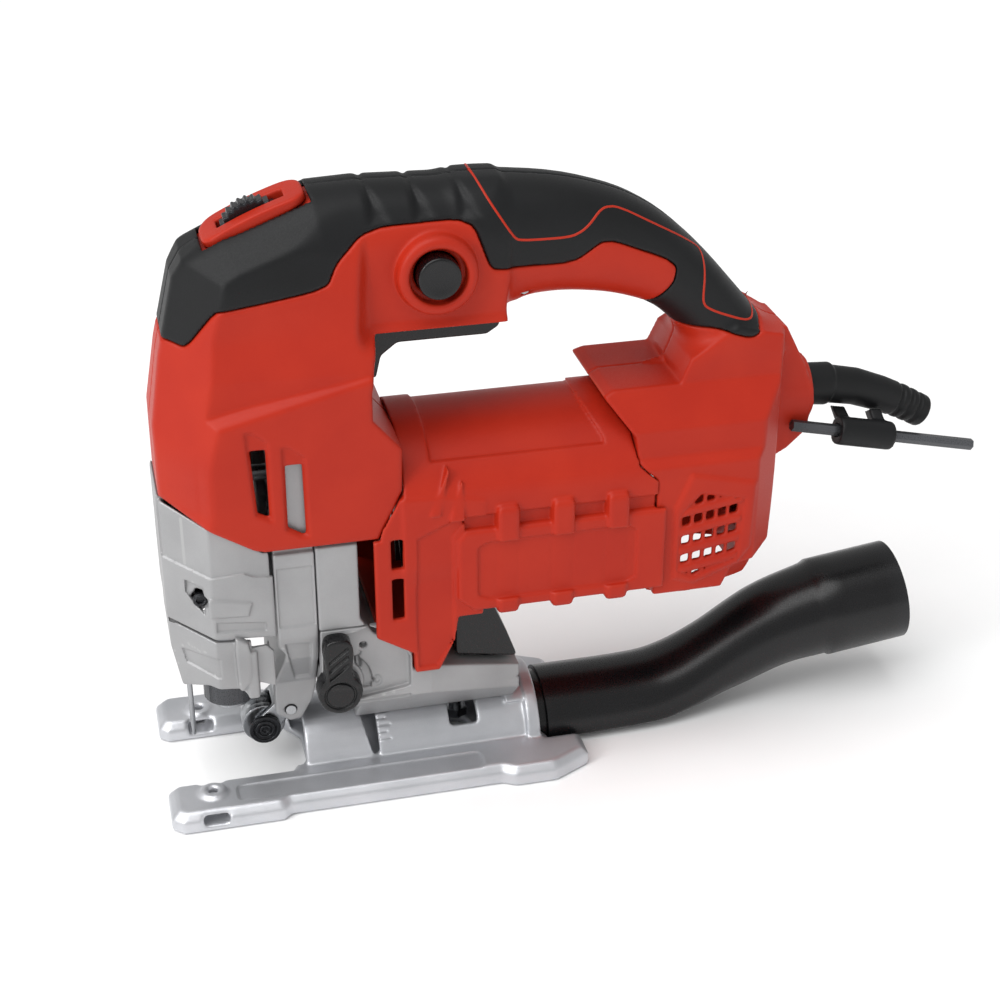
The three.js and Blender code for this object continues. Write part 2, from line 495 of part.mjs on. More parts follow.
const NOSE = [[-76, 132], [-76, 81], [-59, 77], [-37.5, 75.6], [-37.5, 132]]
const NOSE_PLAN = mirrorPlan([[-76, -16.4], [-60, -31], [-37.5, -31]])
const noseRoomInside = alongZ(mirrorPlan([[-73.2, -15.2], [-58.8, -28.4], [-30, -28.4]]), 60, 140)
const guardHolder = box(-73.6, -66.5, -8, 8, 82, 90)
const guardLegs = (r, top) => [-5, 5].map((y) => barZ(r, 19.6, top, -69.5, y, 10))
const noseScrewAt = [-64, 92.5]
const noseScrewHoles = [barY(1.6 + GAP, -40, 40, ...noseScrewAt, 12),
  ...[-40, 24.6].map((y) => barY(2.7 + GAP, y, y + 15.4, ...noseScrewAt, 16))]
piece('nose_cover', cut(join(cut(alongY(NOSE, -31, 31).intersect(alongZ(NOSE_PLAN, 60, 140)), noseRoomInside),
  guardHolder.intersect(alongZ(NOSE_PLAN, 60, 140)), ...[-1, 1].map((side) => box(-69.5, -59,
    side > 0 ? 17 : -30, side > 0 ? 30 : -17, 88.5, 96.5).intersect(alongZ(inset(NOSE_PLAN, 1), 60, 140)))),
headBody(-GAP), ...guardLegs(0.9 + GAP, 100), ...noseScrewHoles), cast)
for (const [name, side] of [['left', -1], ['right', 1]]) {
  const screw = join(barY(2.7, 24.9, 26.6, ...noseScrewAt, 16), barY(1.6, 12, 25, ...noseScrewAt, 12))
  piece(`${name}_nose_screw`, side > 0 ? screw : screw.mirror([0, 1, 0]), dark)
}
piece('finger_guard', join(...guardLegs(0.9, 88), barY(0.9, -5.6, 5.6, -69.5, 20.5, 10)), steel)

const LEVER_HINGE = [-41.8, 25.8]
const LEVER_PLAN = [[-47, -31.5], [-60, -31.2], [-75.6, -16.2], [-75.6, 16.2], [-60, 30.6], [-45, 30.6],
  [-43.6, 27.6], [-59, 28.2], [-73, 15], [-73, -15], [-59, -28.6], [-47, -29]]
const leverSide = [[-77, 76], [-72.6, 52], [-63, 56], [-52, 55], [-48, 50], [-38, 50], [-38, 71.5],
  [-58, 72.2], [-66, 76.4]]
const leverFinger = alongZ([[-49.5, -29], [-49.5, -33], [-45.5, -33], [-44.5, -29]], 51, 71.5)
const leverBody = alongZ(LEVER_PLAN, 45, 90).intersect(alongY(leverSide, -40, 40))
piece('blade_release_lever', cut(join(leverBody, leverFinger, barZ(3.6, 55, 71.5, ...LEVER_HINGE, 20),
  box(-47, -42, 26.4, 30, 55, 71.5)), barZ(1.6 + GAP, 40, 90, ...LEVER_HINGE, 16)), cast)
piece('release_lever_pin', barZ(1.6, 54, 79.4, ...LEVER_HINGE, 16), steel)

// ---- Base plate, tilt quadrant and dust pipe ----

const BASE_PLAN = [
  [-27, 8], [-34, SLOT_HALF_WIDTH], [-79, SLOT_HALF_WIDTH], [-82.5, 21.9], [-82.5, 38.6],
  [-78.2, BASE_HALF_WIDTH], [-40, BASE_HALF_WIDTH], [-37, 39.5], [46, 39.5], [51, BASE_HALF_WIDTH],
  [67.4, BASE_HALF_WIDTH], [BASE_LENGTH / 2, 34.6], [BASE_LENGTH / 2, 20.9], [69.5, 20.9],
]
const basePlan = mirrorPlan(BASE_PLAN)
const baseBevel = 3
const bevelled = solid(new THREE.ExtrudeGeometry(shapeOf(basePlan), {
  depth: 0.5, bevelEnabled: true, bevelThickness: baseBevel, bevelSize: baseBevel, bevelOffset: -baseBevel,
  bevelSegments: 1,
}).translate(0, 0, BASE_THICKNESS - 0.5 - baseBevel))
// The shield ahead of the quadrant stands on the base, with a gap behind it that widens upwards.
const shieldGap = alongY([[-1.4, 8.3], [0.8, 8.3], [0.8, 40], [-6, 40], [-5.4, 24]], -40, 40)
const ringRoom = (r, x0, x1) => barX(r, x0, x1, 0, TILT_AXIS_Z, 40).intersect(box(x0, x1, -40, 40, 2.6, 60))
const swing = Math.PI * 56 / 180
const arcEnd = [30 * Math.sin(swing), TILT_AXIS_Z + 30 * Math.cos(swing)]
const screwArc = alongX([[0, TILT_AXIS_Z], arcEnd, [0, 40], [-arcEnd[0], arcEnd[1]]],
  CLAMP_X - 5.5, CLAMP_X + 5.5)
const bosses = [-1, 1].map((side) => barZ(5, 4, 9.4, -65.6, side * 28.6, 20))
const bossHoles = [-1, 1].map((side) => barZ(2, -1, 12, -65.6, side * 28.6, 14))
const fenceSlot = box(-70.6, -60.8, -50, 50, 2.4, 6)
const fenceNotch = [[-22.5, -18], [18, 22.5]].map(([y0, y1]) => box(-70.6, -60.8, y0, y1, 5, 12))
piece('base_plate', cut(join(alongZ(basePlan, 0, 5), bevelled, ringRoom(QUADRANT_RADIUS, 0.8, 66),
  cut(ringRoom(QUADRANT_RADIUS - 0.3, -28, 0.8), shieldGap), ringRoom(23.2, 60.5, 66), ...bosses),
ringRoom(QUADRANT_RADIUS - QUADRANT_WALL, -30, 90), screwArc, barZ(6, -1, 5, CLAMP_X, 0, 20), ...bossHoles,
fenceSlot, ...fenceNotch), cast)

// Pipe stations: X, Z of the centre, half width, rise above and fall below the centre, lean in degrees.
const PIPE = [
  [57, 4.2, 17.8, 17.6, 1.2, 0], [69.9, 4.2, 17.8, 17.6, 1.2, 0], [70, 4.6, 19.6, 18.6, 1.9, 0],
  [110, 6, 19.2, 17.6, 3.2, 4], [128, 11, 18.2, 15.8, 8.2, 18], [146, 20, 17.2, 15.6, 14.6, 33],
  [168, 31.5, 18.4, 17.6, 17.6, 24], [188, 37, 19.6, 19.4, 19.4, 10],
  [190, 37.3, SPIGOT_RADIUS, SPIGOT_RADIUS, SPIGOT_RADIUS, 8],
  [222.5, 41.5, SPIGOT_RADIUS, SPIGOT_RADIUS, SPIGOT_RADIUS, 7],
]
const PIPE_SIDES = 18
const pipeRings = (wall, stretch) => PIPE.map(([x, z, wide, rise, fall, lean], k) => {
  const tilt = lean * Math.PI / 180
  const push = k === 0 ? -stretch : k === PIPE.length - 1 ? stretch : 0
  return Array.from({ length: PIPE_SIDES }, (_, i) => {
    const a = 2 * Math.PI * i / PIPE_SIDES
    const tall = Math.sin(a) > 0 ? rise - wall : Math.max(fall - wall, 0.2)
    const square = Math.sin(a) > 0 || fall > 12 ? 1 : 0.35
    const v = tall * Math.sign(Math.sin(a)) * Math.abs(Math.sin(a)) ** square
    const y = (wide - wall) * Math.cos(a)
    return new THREE.Vector3(x + push - v * Math.sin(tilt), y, z + push * Math.sin(tilt) + v * Math.cos(tilt))
  })
})
const pipeFloor = box(50, 300, -60, 60, -30, 2.9)
piece('dust_pipe', cut(loft(pipeRings(0, 0)), loft(pipeRings(PIPE_WALL, 3)), pipeFloor), black)

const DUCT = [[31, 73.6], [46, 73.6], [52.2, 58.5], [56.6, 46.2], [31, 53.2]]
const ductTaper = alongZ([[30, -25], [57, -20.5], [57, 20.5], [30, 25]], 40, 80)
piece('duct_cover', cut(alongY(DUCT, -25, 25).intersect(ductTaper),
  alongY([[33, 71.6], [44.6, 71.6], [50.2, 57.6], [54, 40], [33, 40]], -18, 18)), black)

// ---- Cord guard with its key holder, and the key ----

const CORD_PATH = [
  [163, CORD_Z, 8.1], [172, CORD_Z, 8.1], [185, 140.3, 8.3], [186, 140.1, 7.7], [197, 137.8, 7.4],
  [208, 133.6, 7], [218, 128.8, 6.8], [227.5, 123.4, 6.5],
]
const cordRings = (radiusAt, stretch) => CORD_PATH.map(([x, z, r], k) => {
  const [px, pz] = CORD_PATH[Math.max(k - 1, 0)]
  const [nx, nz] = CORD_PATH[Math.min(k + 1, CORD_PATH.length - 1)]
  const along = new THREE.Vector3(nx - px, 0, nz - pz).normalize()
  const up = new THREE.Vector3(-along.z, 0, along.x)
  const push = k === 0 ? -stretch : k === CORD_PATH.length - 1 ? stretch : 0
  return Array.from({ length: 14 }, (_, i) => {
    const a = 2 * Math.PI * i / 14
    return new THREE.Vector3(x, 0, z).addScaledVector(along, push)
      .addScaledVector(up, radiusAt(r) * Math.cos(a)).add(new THREE.Vector3(0, radiusAt(r) * Math.sin(a), 0))
  })
})
const KEY_Y = -15
const keyAt = (x) => [x, KEY_Y, 131.3 - 0.225 * (x - 166)]
const webs = [187, 201.5].map((x) => alongX([[0, 137], [-4, 132.5], [-15, 128.5 - (x - 187) * 0.2],
  [-15, 122.5 - (x - 187) * 0.2], [-1, 131 - (x - 187) * 0.2]], x, x + 5))
piece('cord_guard', cut(join(loft(cordRings((r) => r, 0)), bar(5.2, keyAt(186), keyAt(207), 20), ...webs),
  loft(cordRings(() => 3.7, 3)), bar(KEY_ACROSS_FLATS / 2 + 0.6, keyAt(180), keyAt(215), 16)), black)
piece('hex_key', bar(KEY_ACROSS_FLATS / Math.sqrt(3), keyAt(166), keyAt(243), 6), dark)

screwPlaces.forEach(([x, z], i) => piece(`shell_screw_${i + 1}`,
  join(barY(3.9, 12.3, 15, x, z, 10), barY(1.9, -14, 12.4, x, z, 8)), steel))

export default object
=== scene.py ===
# Corded D-handle jigsaw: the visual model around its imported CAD. Lengths below are in millimetres until a
# mesh is made; the frame and Blender are in metres.
import json
import math

import bpy
import numpy as np
import openvdb as vdb
from mathutils import Matrix, Vector


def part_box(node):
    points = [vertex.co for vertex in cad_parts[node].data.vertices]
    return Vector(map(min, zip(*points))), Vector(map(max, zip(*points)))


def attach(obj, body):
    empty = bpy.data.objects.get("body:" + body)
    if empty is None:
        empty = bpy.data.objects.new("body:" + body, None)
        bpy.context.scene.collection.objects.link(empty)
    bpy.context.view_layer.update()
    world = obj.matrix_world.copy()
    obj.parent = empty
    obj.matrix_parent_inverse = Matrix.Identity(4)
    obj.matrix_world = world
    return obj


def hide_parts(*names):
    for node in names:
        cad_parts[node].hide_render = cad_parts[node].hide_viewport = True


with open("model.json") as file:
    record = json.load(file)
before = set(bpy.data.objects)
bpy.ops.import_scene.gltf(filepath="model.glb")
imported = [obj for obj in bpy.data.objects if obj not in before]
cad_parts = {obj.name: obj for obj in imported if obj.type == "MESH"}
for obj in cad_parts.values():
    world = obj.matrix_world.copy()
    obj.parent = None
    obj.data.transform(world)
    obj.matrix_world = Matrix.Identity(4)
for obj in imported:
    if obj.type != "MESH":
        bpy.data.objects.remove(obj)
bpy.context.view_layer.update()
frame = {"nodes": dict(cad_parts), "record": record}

MM = 0.001
F = np.float32

# ---------------------------------------------------------------- materials


def node_tree(name):
    material = bpy.data.materials.new(name)
    material.use_nodes = True
    tree = material.node_tree
    return material, tree, tree.nodes["Principled BSDF"]


def finish_of(name, colour, other, roughness, metallic=0.0, grain=0.25, depth=0.05, wear=0.12, edge=None,
              swing=0.07, coat=0.0, shine=0.5, streak=None):
    """A moulded, cast or turned surface: two colours drifting over it, fine grain in its bump and
    roughness, and lighter worn edges. grain and depth are in millimetres."""
    material, tree, shader = node_tree(name)
    link = tree.links.new
    place = tree.nodes.new("ShaderNodeTexCoord")
    source = place.outputs["Object"]
    if streak:
        stretch = tree.nodes.new("ShaderNodeMapping")
        stretch.inputs["Scale"].default_value = streak
        link(source, stretch.inputs["Vector"])
        source = stretch.outputs["Vector"]
    drift = tree.nodes.new("ShaderNodeTexNoise")
    drift.inputs["Scale"].default_value = 38.0
    drift.inputs["Detail"].default_value = 5.0
    link(place.outputs["Object"], drift.inputs["Vector"])
    fine = tree.nodes.new("ShaderNodeTexNoise")
    fine.inputs["Scale"].default_value = 1.0 / (grain * MM)
    fine.inputs["Detail"].default_value = 2.0
    link(source, fine.inputs["Vector"])

    blend = tree.nodes.new("ShaderNodeMix")
    blend.data_type = "RGBA"
    blend.inputs["A"].default_value = (*colour, 1)
    blend.inputs["B"].default_value = (*other, 1)
    spread = tree.nodes.new("ShaderNodeMapRange")
    spread.inputs["From Min"].default_value = 0.35
    spread.inputs["From Max"].default_value = 0.65
    link(drift.outputs["Fac"], spread.inputs["Value"])
    link(spread.outputs["Result"], blend.inputs["Factor"])

    shape = tree.nodes.new("ShaderNodeNewGeometry")
    edges = tree.nodes.new("ShaderNodeMapRange")
    edges.inputs["From Min"].default_value = 0.53
    edges.inputs["From Max"].default_value = 0.62
    edges.inputs["To Max"].default_value = wear
    link(shape.outputs["Pointiness"], edges.inputs["Value"])
    patchy = tree.nodes.new("ShaderNodeMath")
    patchy.operation = "MULTIPLY"
    link(edges.outputs["Result"], patchy.inputs[0])
    link(drift.outputs["Fac"], patchy.inputs[1])
    worn = tree.nodes.new("ShaderNodeMix")
    worn.data_type = "RGBA"
    worn.inputs["B"].default_value = (*(edge or tuple(min(1.0, c * 1.9 + 0.05) for c in colour)), 1)
    link(patchy.outputs["Value"], worn.inputs["Factor"])
    link(blend.outputs["Result"], worn.inputs["A"])
    link(worn.outputs["Result"], shader.inputs["Base Color"])

    rough = tree.nodes.new("ShaderNodeMapRange")
    rough.inputs["From Min"].default_value = 0.3
    rough.inputs["From Max"].default_value = 0.7
    rough.inputs["To Min"].default_value = roughness - swing
    rough.inputs["To Max"].default_value = roughness + swing
    link(fine.outputs["Fac"], rough.inputs["Value"])
    link(rough.outputs["Result"], shader.inputs["Roughness"])

    bump = tree.nodes.new("ShaderNodeBump")
    bump.inputs["Strength"].default_value = 0.6
    bump.inputs["Distance"].default_value = depth * MM
    link(fine.outputs["Fac"], bump.inputs["Height"])
    link(bump.outputs["Normal"], shader.inputs["Normal"])
    shader.inputs["Metallic"].default_value = metallic
    shader.inputs["Coat Weight"].default_value = coat
    shader.inputs["Specular IOR Level"].default_value = shine
    return material


def srgb(code):
    channels = [int(code[i:i + 2], 16) / 255 for i in (1, 3, 5)]
    return tuple(c / 12.92 if c <= 0.04045 else ((c + 0.055) / 1.055) ** 2.4 for c in channels)


RED = finish_of("red_plastic", (0.425, 0.022, 0.007), (0.39, 0.018, 0.006), 0.46, grain=0.4, depth=0.06,
                wear=0.4, edge=srgb("#d8654d"), shine=0.22)
SOFT = finish_of("soft_grip", srgb("#0d0e10"), srgb("#0a0b0c"), 0.52, grain=0.35, depth=0.06, wear=0.35,
                 edge=srgb("#3a3c40"), shine=0.3)
BLACK = finish_of("black_plastic", srgb("#0b0b0d"), srgb("#08080a"), 0.3, grain=0.4, depth=0.02, wear=0.3,
                  edge=srgb("#3e4044"), shine=0.4)
CAST = finish_of("bright_casting", srgb("#cfd0d4"), srgb("#c0c2c6"), 0.42, metallic=0.75, grain=0.35,
                 depth=0.09, wear=0.4, edge=srgb("#f4f4f4"), swing=0.14)
PAINTED = finish_of("painted_casting", srgb("#a1a1a2"), srgb("#969697"), 0.5, metallic=0.45, grain=0.35,
                    depth=0.07, wear=0.4, edge=srgb("#d6d6d4"))
STEEL = finish_of("steel", srgb("#a9abad"), srgb("#96989b"), 0.32, metallic=1.0, grain=0.6, depth=0.003,
                  streak=(1, 1, 0.1))
COPPER = finish_of("copper_winding", srgb("#b06a3a"), srgb("#8e4f28"), 0.4, metallic=0.9, grain=0.6,
                   depth=0.2, streak=(0.1, 1, 1))
BRASS = finish_of("brass", srgb("#b8975a"), srgb("#a5854b"), 0.35, metallic=0.9, grain=0.4, depth=0.02)
CARBON = finish_of("carbon", srgb("#2b2b2b"), srgb("#222222"), 0.7, grain=0.2, depth=0.04)
DARK = finish_of("blackened_steel", srgb("#2b2c2f"), srgb("#1f2023"), 0.3, metallic=0.6, grain=0.4,
                 depth=0.02, wear=0.4, edge=srgb("#8a8c90"))
FINISH = {
    "red_plastic": RED, "soft_grip": SOFT, "black_plastic": BLACK, "cast_aluminium": CAST, "steel": STEEL,
    "copper_winding": COPPER, "brass": BRASS, "carbon": CARBON, "blackened_steel": DARK,
}

for part in frame["record"]["subparts"]:
    data = frame["nodes"][part["node"]].data
    data.materials.clear()
    data.materials.append(FINISH[part["material_slot"]])

# ---------------------------------------------------------------- modelling with distance fields


class Space:
    """A box of samples, in millimetres, that fields are worked out on."""

    def __init__(self, low, high, step):
        self.step = step
        self.low = np.array(low, float) - 3 * step
        count = np.ceil((np.array(high) + 3 * step - self.low) / step).astype(int) + 1
        axes = [(self.low[i] + step * np.arange(count[i])).astype(F) for i in range(3)]
        self.x, self.y, self.z = axes[0][:, None, None], axes[1][None, :, None], axes[2][None, None, :]


def outline(u, v, points):
    """Signed distance to a closed outline, below zero inside."""
    points = np.array(points, F)
    best, sign = None, None
    for (au, av), (bu, bv) in zip(points, np.roll(points, 1, 0)):
        eu, ev = bu - au, bv - av
        wu, wv = u - au, v - av
        t = np.clip((wu * eu + wv * ev) / (eu * eu + ev * ev + F(1e-9)), 0, 1)
        d = (wu - eu * t) ** 2 + (wv - ev * t) ** 2
        above, below, turn = v >= av, v < bv, eu * wv > ev * wu
        flip = (above & below & turn) | (~above & ~below & ~turn)
        side = np.where(flip, F(-1), F(1))
        best = d if best is None else np.minimum(best, d)
        sign = side if sign is None else sign * side
    return sign * np.sqrt(best)


def track(u, v, points):
    """Distance to an open line, and how far along it, in stations."""
    points = np.array(points, F)
    best = at = None
    for i, ((au, av), (bu, bv)) in enumerate(zip(points[:-1], points[1:])):
        eu, ev = bu - au, bv - av
        t = np.clip(((u - au) * eu + (v - av) * ev) / (eu * eu + ev * ev), 0, 1)
        d = (u - au - eu * t) ** 2 + (v - av - ev * t) ** 2
        if best is None:
            best, at = d, t + i
        else:
            at = np.where(d < best, t + i, at)
            best = np.minimum(d, best)
    return np.sqrt(best), at


def softened(points, cut=0.22, rounds=2, closed=True):
    """The same outline, or open line, with its corners cut round."""
    for _ in range(rounds):
        after = points[1:] + points[:1] if closed else points[1:]
        made = [] if closed else [points[0]]
        for (au, av), (bu, bv) in zip(points, after):
            made += [(au + (bu - au) * cut, av + (bv - av) * cut),
                     (bu + (au - bu) * cut, bv + (av - bv) * cut)]
        points = made if closed else made + [points[-1]]
    return points


def both(a, b, k=0.0):
    """Where two solids overlap, with the edge between them rounded over about k."""
    if np.isscalar(k) and k <= 0:
        return np.maximum(a, b)
    h = np.maximum(k - np.abs(a - b), 0)
    return np.maximum(a, b) + h * h / (4 * k)


def either(a, b, k=0.0):
    return -both(-a, -b, k)


def less(a, b, k=0.0):
    return both(a, -b, k)


def slab(v, low, high):
    """Between two planes."""
    return np.abs(v - F((low + high) / 2)) - F((high - low) / 2)


def block(s, x, y, z, k=0.0):
    return both(both(slab(s.x, *x), slab(s.y, *y), k), slab(s.z, *z), k)


def ramp(v, start, end):
    """From 0 at start to 1 at end, smoothly."""
    t = np.clip((v - start) / (end - start), 0, 1)
    return t * t * (3 - 2 * t)


def plane(s, point, normal):
    n = np.array(normal, float)
    n /= np.linalg.norm(n)
    return (s.x - F(point[0])) * F(n[0]) + (s.y - F(point[1])) * F(n[1]) + (s.z - F(point[2])) * F(n[2])


def rod(s, start, end, radius):
    """A round bar with square ends."""
    a, b = np.array(start, float), np.array(end, float)
    length = np.linalg.norm(b - a)
    d = (b - a) / length
    wx, wy, wz = s.x - F(a[0]), s.y - F(a[1]), s.z - F(a[2])
    along = wx * F(d[0]) + wy * F(d[1]) + wz * F(d[2])
    off = np.sqrt(np.maximum(wx * wx + wy * wy + wz * wz - along * along, 0))
    return np.maximum(off - F(radius), np.abs(along - F(length / 2)) - F(length / 2))


def sampled(field, p):
    """Field values at points given in samples, read between the eight around each."""
    top = np.array(field.shape) - 2
    i = np.clip(np.floor(p).astype(int), 0, top)
    f = p - i
    total = 0
    for cx in (0, 1):
        for cy in (0, 1):
            for cz in (0, 1):
                weight = (np.abs(1 - cx - f[:, 0]) * np.abs(1 - cy - f[:, 1]) * np.abs(1 - cz - f[:, 2]))
                total = total + weight * field[i[:, 0] + cx, i[:, 1] + cy, i[:, 2] + cz]
    return total


def settle(field, p, rounds=2):
    """Points moved onto the field's surface."""
    steps = np.eye(3) * 0.5
    for _ in range(rounds):
        slope = np.stack([sampled(field, p + e) - sampled(field, p - e) for e in steps], 1)
        size = np.maximum((slope ** 2).sum(1, keepdims=True), 1e-4)
        move = sampled(field, p)[:, None] * slope / size
        p = p - np.clip(move, -0.5, 0.5)
    return p


def linked(name, data):
    made = bpy.data.objects.new(name, data)
    bpy.context.scene.collection.objects.link(made)
    return made


def skin(name, s, field, finish, body, replaces):
    """The surface of a field as a piece that rides on a body."""
    field = np.ascontiguousarray(np.broadcast_to(field, (s.x.size, s.y.size, s.z.size)), F)
    grid = vdb.FloatGrid(3 * s.step)
    grid.copyFromArray(np.clip(field, -3 * s.step, 3 * s.step))
    points, quads = grid.convertToQuads(0.0)
    points = settle(field / s.step, points.astype(float)) * s.step + s.low
    data = bpy.data.meshes.new(name)
    data.from_pydata((points * MM).tolist(), [], quads.tolist())
    data.update()
    # The first face shows which way round they all are.
    face = data.polygons[0]
    middle, lift = np.array([face.center]) / MM - s.low, np.array([face.normal]) * s.step * 0.5
    beyond, behind = sampled(field, (middle + lift) / s.step), sampled(field, (middle - lift) / s.step)
    if not beyond[0] > behind[0]:
        data.flip_normals()
    data.shade_smooth()
    data.materials.append(finish)
    made = linked(name, data)
    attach(made, body)
    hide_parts(*replaces)


def blurred(field, rounds=1):
    """The field averaged with its neighbours, which rounds its edges over."""
    for _ in range(rounds):
        for axis in range(3):
            f = np.moveaxis(field, axis, 0)
            g = f.copy()
            g[1:-1] = 0.25 * f[:-2] + 0.5 * f[1:-1] + 0.25 * f[2:]
            field = np.moveaxis(g, 0, axis)
    return np.ascontiguousarray(field, F)


def from_cad(s, node, rounds=1):
    """The field of a CAD node, its edges eased."""
    data = frame["nodes"][node].data
    co = np.zeros(len(data.vertices) * 3, F)
    data.vertices.foreach_get("co", co)
    data.calc_loop_triangles()
    corners = np.zeros(len(data.loop_triangles) * 3, np.int32)
    data.loop_triangles.foreach_get("vertices", corners)
    points = ((co.reshape(-1, 3) / MM - s.low) / s.step).astype(F)
    welded, index = np.unique(np.round(points, 4), axis=0, return_inverse=True)
    triangles = index.reshape(-1)[corners].reshape(-1, 3).astype(np.uint32)
    grid = vdb.FloatGrid.createLevelSetFromPolygons(welded.astype(F), triangles=triangles, halfWidth=4.0)
    field = np.zeros((s.x.size, s.y.size, s.z.size), F)
    grid.copyToArray(field)
    return blurred(field * s.step, rounds)


def around(node, step, margin=1.0):
    """A space that holds a CAD node."""
    low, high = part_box(node)
    return Space([c / MM - margin for c in low], [c / MM + margin for c in high], step)


def sunk(field, shape, depth, k=0.3):
    """A shallow recess of one depth below the surface, wherever the surface lies."""
    return less(field, both(shape, -(field + F(depth))), k)


def lowered(field, shape, depth):
    """The surface taken down outside a shape, which leaves the shape standing proud."""
    return np.minimum(np.maximum(field, shape), field + F(depth))


# ---------------------------------------------------------------- body shells and soft grip

BODY_BOX = ((-78, -37, 72), (180, 37, 244))
FRONT = [(-75, 131), (-74.8, 158), (-70.5, 183), (-63.5, 211), (-59.5, 217.5), (-46.6, 225.5), (-14.9, 237.5),
         (2, 238.2), (52, 236.6)]
HEAD = [(1.5, 112.5), (-40, 112.5), (-43.8, 113.6), (-59.3, 123.3), *FRONT, (52, 189), (4, 189),
        (1, 170), (1, 160), (11, 148), (10.7, 131.7), (7.7, 124.7)]
GRIP_TOP = [(30, 236.6), (49.2, 237.2), (76.3, 234), (98.7, 227), (114.2, 217.8), (130.2, 203), (147.1, 183),
            (158, 170), (166, 160)]
GRIP_UNDER = [(118, 157), (122, 166.5), (121, 174), (109.5, 184.4), (93.7, 189.9), (76.4, 192.4), (62.8, 192),
              (56.4, 189.2), (30, 189)]
GRIP_SPINE = [(40, 214), (60, 213.7), (77, 212.5), (95.5, 207.7), (112, 199), (127, 185), (138, 171.5),
              (143, 158)]
GRIP_HALF_HEIGHT = [23.4, 22.2, 20.6, 18.6, 16.8, 15.2, 16.5, 20]
GRIP_HALF_WIDTH = [21.4, 20.4, 19.8, 19.2, 18.8, 18.8, 19.6, 21]
REAR = [(106.6, 74.5), (134, 74.5), (138, 83), (156, 88), (158, 116), (166, 120), (174, 127), (175, 138),
        (172, 153), (162.5, 171.5), (140, 176), (122, 166), (118, 157), (92, 157), (88, 155), (98.6, 141),
        (99.8, 130.6), (106.6, 124.2)]
REAR_PLAN = [(80, -34), (146, -34), (157, -23), (161, -12.6), (176, -11.8), (176, 11.8), (161, 12.6),
             (157, 23), (146, 34), (80, 34)]
SKIN_EDGE = [(-90, 190.5), (-65.8, 189.6), (-60.9, 188.2), (-50.3, 203), (-45.4, 203.4), (-12.3, 208.3),
             (-8.3, 216.7), (0.2, 224.3), (8.5, 226.6), (39.6, 226.9), (45.3, 210.7), (47.3, 208.4),
             (76.4, 207.4), (88.4, 215.3), (111.2, 205.5), (115.7, 201.6), (114.3, 195.6), (104, 183),
             (100, 170), (119.5, 176.7), (131, 176.9), (145.6, 171.8), (152.4, 177), (153.4, 181.5),
             (185, 199), (185, 262), (-90, 262)]
FRONT_SLOTS = [
    [(-44.3, 160.6), (-41.9, 160.6), (-36.6, 155.9), (-36.5, 124.6), (-42.4, 127.9)],
    [(-31.7, 153.6), (-29.3, 153.3), (-24.1, 149.1), (-23.8, 117.1), (-26.7, 117.4), (-31.9, 120.7)],
]
VENT_PAD = [(120.3, 124.6), (144.9, 118.7), (144, 92), (139.3, 85.5), (122.3, 79), (114.6, 81.5),
            (114.4, 111.5)]
VENT_AREA = [(116, 84.5), (121.5, 81.5), (139, 88), (140.8, 112.6), (124, 116.6), (116.3, 108.6)]
CASE_PLAN = [(-71, -12.5), (-58.5, -25), (-45, -29), (-38, -30.5), (14, -30.5), (14, 30.5), (-38, 30.5),
             (-45, 29), (-58.5, 25), (-71, 12.5)]
HEAD_HALF_WIDTH = ([160, 178, 206, 226, 240], [32.3, 31.2, 26.3, 22.5, 20])
BUTTON = (26.5, 209.5)
SCREWS = [(-66.5, 148), (0.5, 152), (60, 197), (135, 166), (149, 108)]
SCREW_POST = 5.5
SCREW_HEAD_ROOM = 4.3
BEZEL = (-29.5, 218.5)
BEZEL_SLOPE = 0.39
DIAL_AXIS = (BEZEL[0] - 3.4, BEZEL[1] + 3.6)
DIAL_ROOM = 13.3
CORD_Z = 141.5
CORD_BOSS = 12.4
BARREL_Z = 112.5
BARREL_ROOM = 32.4
TRIGGER_PIN_ROOM = 2.3
VENT_PITCH = (4.64, 8.15)
HALF_GAP = 0.12
WALL = 2.8
SKIN_DEPTH = 2.2


def tipped(s, centre, angle):
    """Coordinates along and square to a line that rises at an angle, in the X-Z plane."""
    c, n = F(math.cos(angle)), F(math.sin(angle))
    u, w = s.x - F(centre[0]), s.z - F(centre[1])
    return u * c + w * n, w * c - u * n


